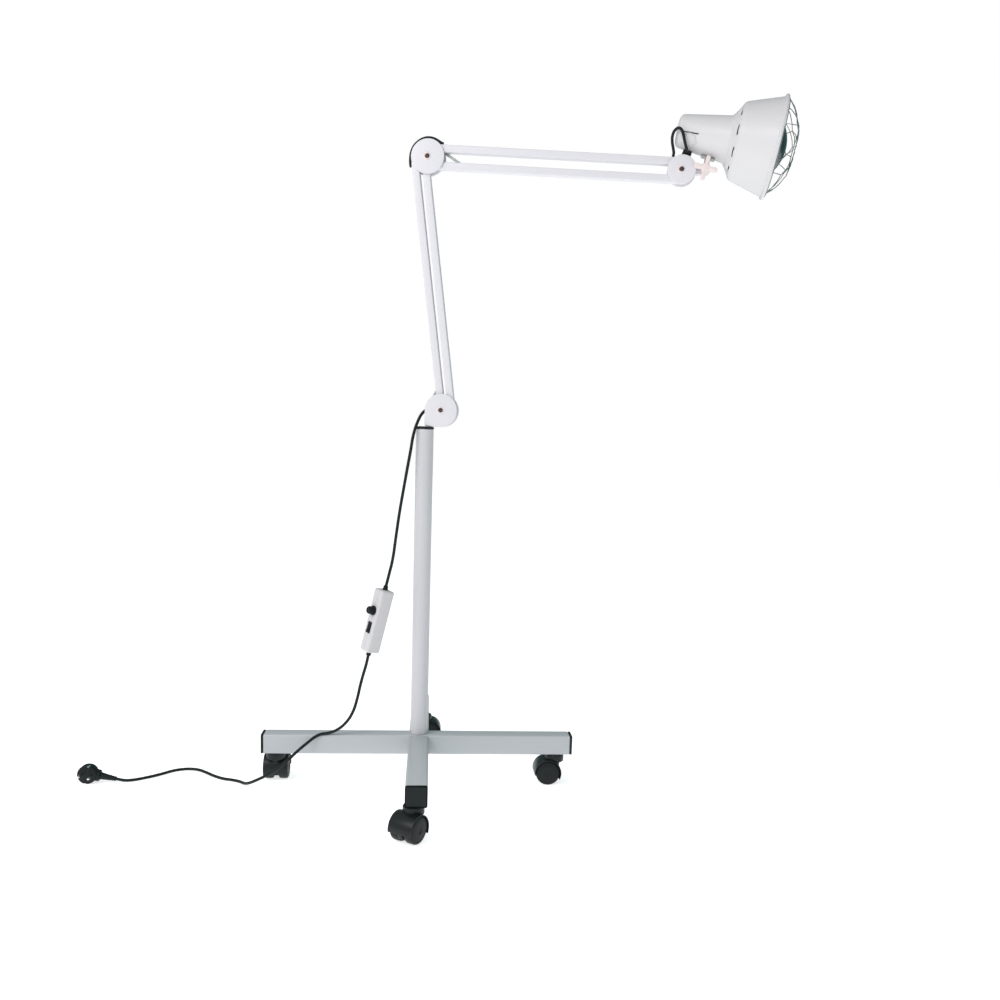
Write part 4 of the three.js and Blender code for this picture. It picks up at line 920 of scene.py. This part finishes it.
# Lamp head: spun shade with a rolled rim, vents in the shoulder, a louvre in the neck
shadeSettings = {
    "wall": 0.0015,
    "outside": [
        (0, 0.184), (0.016, 0.184), (0.021, 0.1832), (0.0252, 0.1812), (0.0278, 0.1788), (0.0290, 0.1757),
        (0.0405, 0.0912), (0.0425, 0.0880), (0.0450, 0.0862), (0.0500, 0.0825), (0.0600, 0.0765),
        (0.0645, 0.0733), (0.0667, 0.0705), (0.0682, 0.0668), (0.0849, 0.0084), (0.0856, 0.0072),
        (0.0874, 0.0063), (0.0893, 0.0055), (0.0903, 0.0040), (0.0903, 0.0022), (0.0893, 0.0006),
        (0.0876, 0.0001), (0.0860, 0.0006),
    ],
    "lip": (0.0842, 0.0010), "innerRows": 15, "flatDepth": 0.06, "flatRadius": 0.07,
    "vents": 10, "vent": (0.030, 0.019, 0.0045), "ventEdge": 0.0018, "ventPlace": (-0.081, 0, 0.05435),
    "ventSlope": (0.091 - 0.071, 0.0682 - 0.0405),
    "louvre": (0.030, 0.030, 0.0022), "louvreTurn": 17.3, "louvreDepth": 0.158, "louvreReach": 0.029,
    "dome": (0.0155, 0.0060, 0.0120), "domeTurn": 40, "domeRadius": 0.0303,
}


# From spun about Z with depth upwards to the lamp's own frame, mouth along +X
def turnedToAxis(thing):
    return turned(thing, 0, -quarterTurn, 0)


def addShade():
    s = shadeSettings
    wall = s["wall"]
    inside = []
    for radius, depth in reversed(s["outside"][:s["innerRows"]]):
        shoulder = depth > s["flatDepth"] and radius < s["flatRadius"]
        inside.append((max(radius - wall, 0), depth - wall if shoulder else depth))
    shade = turnedToAxis(spinProfile("lampShade", s["outside"] + [s["lip"]] + inside, 128))
    slope = math.atan2(*s["ventSlope"])
    vents = []
    for i in range(s["vents"]):
        vent = bevelEdges(addBlock("vent", s["vent"]), s["ventEdge"], 3)
        around = Matrix.Rotation((i + 0.5) / s["vents"] * fullTurn, 4, "X")
        where = around @ Matrix.Translation(s["ventPlace"]) @ Matrix.Rotation(-slope, 4, "Y")
        vents.append(settle(vent, where))
    louvre = addBlock("louvre", s["louvre"], (-s["louvreDepth"], -s["louvreReach"], 0))
    bevelEdges(louvre, 0.0008, 2)
    settle(louvre, Matrix.Rotation(math.radians(s["louvreTurn"]), 4, "X"))
    cutOut(shade, *vents, louvre)
    deselectAll()
    bpy.ops.mesh.primitive_uv_sphere_add(segments=48, ring_count=24, radius=1)
    dome = nameIt("louvreDome")
    dome.scale = s["dome"]
    settle(dome)
    domeTurn = Matrix.Rotation(math.radians(s["domeTurn"]), 4, "X")
    settle(dome, domeTurn @ Matrix.Translation((-s["louvreDepth"], -s["domeRadius"], 0)))
    shade = joinPieces("lampShade", shade, dome)
    setPiece(shade, lampAxisPlace, 32, "head", "shade_paint", "shadePaint", "lamp_housing")


bulbSettings = {
    "radius": 0.0625, "rim": 0.022, "bulge": 0.040, "faceSteps": 12, "mirrorBehind": -0.0225,
    "side": [
        (0.0625, 0.024), (0.0618, 0.029), (0.0600, 0.034), (0.0578, 0.0376), (0.0190, 0.112),
        (0.0165, 0.116), (0.0140, 0.119), (0.0136, 0.121), (0, 0.121),
    ],
    "threads": 7, "threadStart": 0.1212, "threadPitch": 0.0036,
    "threadTurn": [(0.0122, 0), (0.0130, 0.0012), (0.0130, 0.0020), (0.0122, 0.0032)],
    "capEnd": [(0.0110, 0.147), (0.0050, 0.1508), (0, 0.1515)],
    "holder": [
        (0, 0.1820), (0.0185, 0.1820), (0.0198, 0.1808), (0.0200, 0.1790), (0.0200, 0.1500),
        (0.0192, 0.1490), (0.0192, 0.1470), (0.0200, 0.1460), (0.0200, 0.1300), (0.0190, 0.1282),
        (0.0150, 0.1280), (0.0140, 0.1290), (0.0140, 0.1535), (0, 0.1535),
    ],
}


def addBulb():
    s = bulbSettings
    face = [(0, s["rim"] - s["bulge"])]
    for i in range(1, s["faceSteps"] + 1):
        angle = quarterTurn * i / s["faceSteps"]
        face.append((s["radius"] * math.sin(angle), s["rim"] - s["bulge"] * math.cos(angle) ** 1.5))
    bowl = turnedToAxis(spinProfile("reflectorBulb", face + s["side"], 96))
    dress(bowl, "bulbFace", "bulbMirror")
    for polygon in bowl.data.polygons:
        polygon.material_index = 1 if polygon.center.x < s["mirrorBehind"] else 0
    setPiece(bowl, lampAxisPlace, 30, "head", "bulb_glass", None, "infrared_bulb")
    thread = [(0, 0.1205)]
    for i in range(s["threads"]):
        base = s["threadStart"] + i * s["threadPitch"]
        thread += [(radius, base + rise) for radius, rise in s["threadTurn"]]
    cap = turnedToAxis(spinProfile("bulbCap", thread + s["capEnd"], 48))
    setPiece(cap, lampAxisPlace, 40, "head", "zinc_steel", "brass")
    holder = turnedToAxis(spinProfile("lampHolder", s["holder"], 64))
    setPiece(holder, lampAxisPlace, 40, "head", "ceramic", "ceramic", "lamp_socket")


# The guard's rings, as diameter and depth
guardSettings = {
    "seat": (0.168, 0.0013), "middle": (0.108, 0.0240), "inner": (0.044, 0.0322),
    "wire": 0.00074, "bow": 0.0035, "waves": 8,
}


def guardPoint(diameter, depth, turn):
    angle = turn * fullTurn
    return Vector((depth, diameter / 2 * math.sin(angle), diameter / 2 * math.cos(angle)))


def addGuardWire(name, points):
    data = bpy.data.curves.new(name, "CURVE")
    data.dimensions = "3D"
    spline = data.splines.new("POLY")
    spline.points.add(len(points) - 1)
    for knot, point in zip(spline.points, points):
        knot.co = (*point, 1)
    spline.use_cyclic_u = True
    data.bevel_depth = guardSettings["wire"]
    data.bevel_resolution = 3
    return asMesh(linked(name, data))


def addGuard():
    s = guardSettings
    seat, middle, inner = s["seat"], s["middle"], s["inner"]
    hoop = addGuardWire("hoop", [guardPoint(*seat, i / 96) for i in range(96)])
    ring = addGuardWire("ring", [guardPoint(*inner, i / 48) for i in range(48)])
    pieces = [hoop, ring]
    bow = Vector((s["bow"], 0, 0))
    for outer, near, shift in ((seat, middle, 0.25), (middle, inner, 0.75)):
        zig = []
        for i in range(s["waves"]):
            a = guardPoint(*outer, (i + shift) / s["waves"])
            b = guardPoint(*near, (i + shift + 0.5) / s["waves"])
            c = guardPoint(*outer, (i + 1 + shift) / s["waves"])
            zig += [a, a, a.lerp(b, 0.35) + bow, a.lerp(b, 0.7) + bow * 0.8]
            zig += [b, b, b.lerp(c, 0.3) + bow * 0.8, b.lerp(c, 0.65) + bow]
        pieces.append(addGuardWire("zig", zig))
    guard = joinPieces("wireGuard", *pieces)
    settle(guard, lampAxisPlace)
    place(guard, "head", "guard_wire", "guardWire", "wire_guard")


addShade()
addBulb()
addGuard()
print("lamp head built")

# Clamp: fork under the neck, pivot bolt, four-wing knob
clampSettings = {
    "legInner": 0.0055, "legOuter": 0.008, "legWidth": 0.010, "plateTop": 0.02376, "plate": 0.026,
    "wall": 0.0025, "slope": 7.7, "bolt": 0.003, "boltFront": 0.016, "boltRear": 0.0083, "nut": 0.0065,
    "nutHeight": 0.005, "wingReach": 0.022, "wingWidth": 0.008, "wingRoot": 0.004, "wingTaper": 0.8,
    "wingFaces": (-0.0225, -0.012), "wingEdge": 0.0014, "knobTurn": 14,
    "hub": [
        (0, 0.0230), (0.0050, 0.0230), (0.0074, 0.0222), (0.0084, 0.0205), (0.0085, 0.0180),
        (0.0085, 0.0085), (0, 0.0085),
    ],
    "gland": (0.0165, 0.012, 0.0115), "glandEdge": 0.0022, "glandPlace": (-0.157, 0, -0.0378),
    "glandTurn": 12,
}


# A bent strip: the plate lies against the neck and its two legs hold the pivot bolt
def addFork():
    s = clampSettings
    plate = addBlock("clampFork", (s["plate"], 2 * s["legOuter"], s["wall"]), (0, 0, -s["wall"] / 2))
    bevelEdges(plate, 0.0007, 3)
    lift = Matrix.Translation((0, 0, s["plateTop"])) @ Matrix.Rotation(math.radians(s["slope"]), 4, "Y")
    settle(plate, lift)
    half = s["legWidth"] / 2
    top = s["plateTop"] - s["wall"] / 2
    outline = arcPoints(half, math.pi, math.pi, 16) + [(half, top), (-half, top)]
    legs = []
    for near, far in ((s["legInner"], s["legOuter"]), (-s["legOuter"], -s["legInner"])):
        legs.append(bevelEdges(extrudeOutline("leg", outline, near, far), 0.0006, 3, 40))
    fork = joinPieces("clampFork", plate, *legs)
    setPiece(fork, headPlace, 35, "head", "zinc_steel", "zincSteel", "clamp_fork")
    front, rear = s["boltFront"], s["boltRear"]
    shank = addDrum("pivotBolt", s["bolt"], front + rear + s["nutHeight"] / 2, axis="Y", sides=32,
                    centre=(0, (rear + s["nutHeight"] / 2 - front) / 2, 0))
    nut = addDrum("nut", s["nut"], s["nutHeight"], (0, rear + s["nutHeight"] / 2, 0), "Y", 6)
    bolt = joinPieces("pivotBolt", bevelEdges(shank, 0.0005, 2), bevelEdges(nut, 0.0005, 3))
    setPiece(bolt, headPlace, 35, "head", "zinc_steel", "zincSteel", "pivot_bolt")


def addClamp():
    s = clampSettings
    reach, half = s["wingReach"], s["wingWidth"] / 2
    root, rootHalf = s["wingRoot"], half * s["wingTaper"]
    outline = [(root, -rootHalf), (reach - half, -half)]
    outline += arcPoints(half, -quarterTurn, math.pi, 8, reach - half)[1:-1]
    outline += [(reach - half, half), (root, rootHalf)]
    wings = []
    for turn in range(4):
        wing = bevelEdges(extrudeOutline("wing", outline, *s["wingFaces"]), s["wingEdge"], 4, 30)
        wings.append(turned(wing, 0, turn * quarterTurn, 0))
    hub = turned(spinProfile("clampKnob", s["hub"], 48), quarterTurn, 0, 0)
    knob = joinPieces("clampKnob", hub, *wings)
    lean = Matrix.Rotation(math.radians(s["knobTurn"] - lampSizes["headTilt"]), 4, "Y")
    setPiece(knob, headPlace @ lean, 40, "clamp_knob", "knob_plastic", "knobPlastic", "wing_knob")
    gland = bevelEdges(addBlock("leadGland", s["gland"]), s["glandEdge"], 4)
    tip = Matrix.Translation(s["glandPlace"]) @ Matrix.Rotation(math.radians(s["glandTurn"]), 4, "Y")
    setPiece(gland, lampAxisPlace @ tip, 40, "head", "black_plastic", "blackPlastic", "cable_gland")


addFork()
addClamp()
print("clamp built")

# Control box: two rounded shells with a seam, ribbed knob, rocker in a frame, cord bushes
boxSettings = {
    "size": (0.030, 0.030, 0.129), "corner": 0.0042, "seam": 0.0003, "cutter": (0.05, 0.05, 0.2),
    "bush": [
        (0, 0), (0.0044, 0), (0.0052, 0.0010), (0.0055, 0.0022), (0.0052, 0.0034), (0.0043, 0.0042),
        (0.0042, 0.0046), (0.0048, 0.0053), (0.0050, 0.0064), (0.0048, 0.0075), (0.0042, 0.0084),
        (0.0034, 0.0088), (0, 0.0088),
    ],
    "knob": [
        (0, 0.0153), (0.0098, 0.0153), (0.0098, 0.0168), (0.0092, 0.0174), (0.0074, 0.0176),
        (0.0072, 0.0270), (0.0066, 0.0279), (0.0052, 0.0282), (0.0050, 0.0278), (0, 0.0278),
    ],
    "knobRise": 0.020, "ribs": 18, "rib": 0.0006, "ribLength": 0.0084, "ribReach": 0.0072,
    "ribPlace": -0.0222,
    "rockerHalf": 0.0105, "rockerWide": 0.0050, "rockerBack": 0.003, "rockerFace": -0.00225, "rockerLean": 6,
    "rockerPlace": (-0.014, 0, -0.015),
    "frame": (0.0012, 0.0122, 0.0232), "hole": (0.01, 0.0106, 0.0216), "framePlace": (-0.0153, 0, -0.015),
}


def addBoxShells():
    s = boxSettings
    body = bevelEdges(addBlock("box", s["size"]), s["corner"], 6)
    shells = []
    for name, side, node in (("boxShellFront", -1, "box_front_shell"), ("boxShellRear", 1, "box_rear_shell")):
        pick(body)
        bpy.ops.object.duplicate()
        shell = nameIt(name)
        far = addBlock("cut", s["cutter"], (0, -side * (s["cutter"][1] / 2 - s["seam"] / 2), 0))
        cutOut(shell, far)
        bevelEdges(shell, 0.0003, 2, 50)
        shells.append((shell, node))
    bpy.data.objects.remove(body, do_unlink=True)
    for shell, node in shells:
        setPiece(shell, boxPlace, 40, "stand", "box_plastic", "boxPlastic", node)
    top = s["size"][2] / 2
    for name, end, node in (("boxBushTop", 1, "box_bush_top"), ("boxBushBottom", -1, "box_bush_bottom")):
        bush = spinProfile(name, [(radius, top + rise) for radius, rise in s["bush"]], 48)
        if end < 0:
            turned(bush, math.pi, 0, 0)
        setPiece(bush, boxPlace, 40, "stand", "black_rubber", "blackRubber", node)


def addBoxControls():
    s = boxSettings
    knob = turnedToAxis(spinProfile("dimmerKnob", s["knob"], 72))
    ribs = [
        addDrum("rib", s["rib"], s["ribLength"], (s["ribPlace"], y, z), "X", 8)
        for y, z in arcPoints(s["ribReach"], 0.0, fullTurn, s["ribs"])[:-1]
    ]
    knob = joinPieces("dimmerKnob", knob, *ribs)
    rise = Matrix.Translation((0, 0, s["knobRise"]))
    setPiece(knob, boxPlace @ rise, 40, "dimmer", "black_plastic", "blackPlastic", "dimmer_knob")
    half, back, face = s["rockerHalf"], s["rockerBack"], s["rockerFace"]
    crown = half * math.tan(math.radians(s["rockerLean"]))
    outline = [
        (back, -half), (back, half), (face - crown, half), (face - crown * 0.5, half / 2), (face, 0),
        (face - crown * 0.5, -half / 2), (face - crown, -half),
    ]
    rocker = extrudeOutline("rockerSwitch", outline, -s["rockerWide"], s["rockerWide"])
    bevelEdges(rocker, 0.0005, 3, 25)
    lean = Matrix.Translation(s["rockerPlace"]) @ Matrix.Rotation(math.radians(s["rockerLean"]), 4, "Y")
    setPiece(rocker, boxPlace @ lean, 30, "rocker", "black_plastic", "blackPlastic", "rocker_switch")
    rim = addBlock("rockerFrame", s["frame"], s["framePlace"])
    hole = addBlock("hole", s["hole"], s["framePlace"])
    cutOut(rim, hole)
    bevelEdges(rim, 0.0003, 2)
    setPiece(rim, boxPlace, 40, "stand", "black_plastic", "blackPlastic")


addBoxShells()
addBoxControls()
print("control box built")

# Mains plug: round body with two pins and side earth clips, collar and ribbed relief
plugSettings = {
    "half": 0.012, "pinSpacing": 0.019,
    "body": [
        (0, 0.012), (0.0172, 0.012), (0.0185, 0.0112), (0.0190, 0.0095), (0.0188, -0.002),
        (0.0186, -0.006), (0.0172, -0.0100), (0.0150, -0.0118), (0.0120, -0.012), (0, -0.012),
    ],
    "notch": (0.006, 0.020, 0.004), "notchShift": -0.006, "notchReach": 0.0190,
    "reliefStart": [(0, 0.0152), (0.0085, 0.0152), (0.0084, 0.0190), (0.0078, 0.0210)],
    "ribs": 15, "rib": (0.0078, 0.0222), "ribTaper": 0.0033, "ribGroove": 0.0007, "ribPitch": 0.0022,
    "reliefEnd": [(0.0043, 0.0552), (0, 0.0552)],
    "collar": [
        (0, 0.0140), (0.0112, 0.0140), (0.0120, 0.0152), (0.0120, 0.0178), (0.0112, 0.0184),
        (0.0112, 0.0190), (0.0118, 0.0196), (0.0116, 0.0222), (0.0102, 0.0236), (0.0084, 0.0240), (0, 0.0240),
    ],
    "pin": [
        (0, -0.002), (0.0024, -0.002), (0.0024, 0.0165), (0.0019, 0.0182), (0.0010, 0.019), (0, 0.019),
    ],
    "clip": (0.0045, 0.016, 0.0006), "clipShift": -0.0045, "clipReach": 0.0174,
}


def addPlug():
    s = plugSettings
    sides = (-1, 1)
    body = turned(spinProfile("mainsPlug", s["body"], 72), quarterTurn, 0, 0)
    notches = [addBlock("notch", s["notch"], (0, s["notchShift"], side * s["notchReach"])) for side in sides]
    cutOut(body, *notches)
    radius, depth = s["rib"]
    ribs = []
    for t in range(s["ribs"]):
        groove = s["ribGroove"] if t % 2 else 0.0
        ribs.append((radius - s["ribTaper"] * t / s["ribs"] - groove, depth + s["ribPitch"] * t))
    relief = spinProfile("relief", s["reliefStart"] + ribs + s["reliefEnd"], 48)
    turned(relief, 0, quarterTurn, 0)
    collar = turned(spinProfile("collar", s["collar"], 56), 0, quarterTurn, 0)
    plug = joinPieces("mainsPlug", body, relief, collar)
    setPiece(plug, plugPlace, 38, "stand", "black_rubber", "blackRubber", "mains_plug")
    pins = []
    for side in sides:
        pin = turned(spinProfile("pin", s["pin"], 32), quarterTurn, 0, 0)
        pins.append(shifted(pin, (side * s["pinSpacing"] / 2, -s["half"], 0)))
    pair = joinPieces("plugPins", *pins)
    setPiece(pair, plugPlace, 40, "stand", "zinc_steel", "pinMetal")
    clips = []
    for side in sides:
        clip = addBlock("clip", s["clip"], (0, s["clipShift"], side * s["clipReach"]))
        clips.append(bevelEdges(clip, 0.0002, 2))
    earth = joinPieces("earthClips", *clips)
    setPiece(earth, plugPlace, 40, "stand", "zinc_steel", "pinMetal")
    return plug, pair, earth


plugPieces = addPlug()
print("plug built")

# Floor and light: a bright soft side at the front left, a dim teal one at the back right
stageSettings = {
    "floor": 60.0, "floorGlow": 0.70, "from": (-0.50, -0.50, 0.74), "bright": (0.83, 0.80, 0.82),
    "dim": (0.05, 0.15, 0.148), "falloff": 2.8,
    "keyPlace": (-1.9, -1.7, 2.5), "keyAim": (0, 0, 0.7), "keySize": 1.1, "keyPower": 31,
}


def addSky(s):
    world = bpy.data.worlds.new("studio")
    world.use_nodes = True
    nodes, links = world.node_tree.nodes, world.node_tree.links
    light = nodes["Background"]
    where = nodes.new("ShaderNodeTexCoord")
    facing = nodes.new("ShaderNodeVectorMath")
    facing.operation = "DOT_PRODUCT"
    facing.inputs[1].default_value = Vector(s["from"]).normalized()
    links.new(where.outputs["Generated"], facing.inputs[0])
    share = nodes.new("ShaderNodeMapRange")
    share.inputs["From Min"].default_value = -1
    links.new(facing.outputs["Value"], share.inputs["Value"])
    curve = nodes.new("ShaderNodeMath")
    curve.operation = "POWER"
    curve.inputs[1].default_value = s["falloff"]
    links.new(share.outputs["Result"], curve.inputs[0])
    blend = nodes.new("ShaderNodeMix")
    blend.data_type = "RGBA"
    blend.inputs["A"].default_value = (*s["dim"], 1)
    blend.inputs["B"].default_value = (*s["bright"], 1)
    links.new(curve.outputs[0], blend.inputs["Factor"])
    links.new(blend.outputs["Result"], light.inputs["Color"])
    backdrop = nodes.new("ShaderNodeBackground")
    path = nodes.new("ShaderNodeLightPath")
    both = nodes.new("ShaderNodeMixShader")
    links.new(path.outputs["Is Camera Ray"], both.inputs[0])
    links.new(light.outputs[0], both.inputs[1])
    links.new(backdrop.outputs[0], both.inputs[2])
    backdrop.inputs["Color"].default_value = (1, 1, 1, 1)
    links.new(both.outputs[0], nodes["World Output"].inputs["Surface"])
    bpy.context.scene.world = world


def addStage():
    s = stageSettings
    deselectAll()
    bpy.ops.mesh.primitive_plane_add(size=s["floor"], location=(0, 0, 0))
    floor = dress(nameIt("floor"), "paleFloor")
    shader = finishes["paleFloor"].node_tree.nodes["Principled BSDF"]
    shader.inputs["Emission Color"].default_value = (1, 1, 1, 1)
    shader.inputs["Emission Strength"].default_value = s["floorGlow"]
    addSky(s)
    bpy.context.scene.view_settings.view_transform = "Standard"
    light = bpy.data.lights.new("keyLight", "AREA")
    light.shape = "SQUARE"
    light.size = s["keySize"]
    light.energy = s["keyPower"]
    lamp = linked("keyLight", light)
    lamp.location = fromPole(*s["keyPlace"])
    lamp.rotation_euler = (fromPole(*s["keyAim"]) - lamp.location).to_track_quat("-Z", "Y").to_euler()


addStage()
print("stage set")
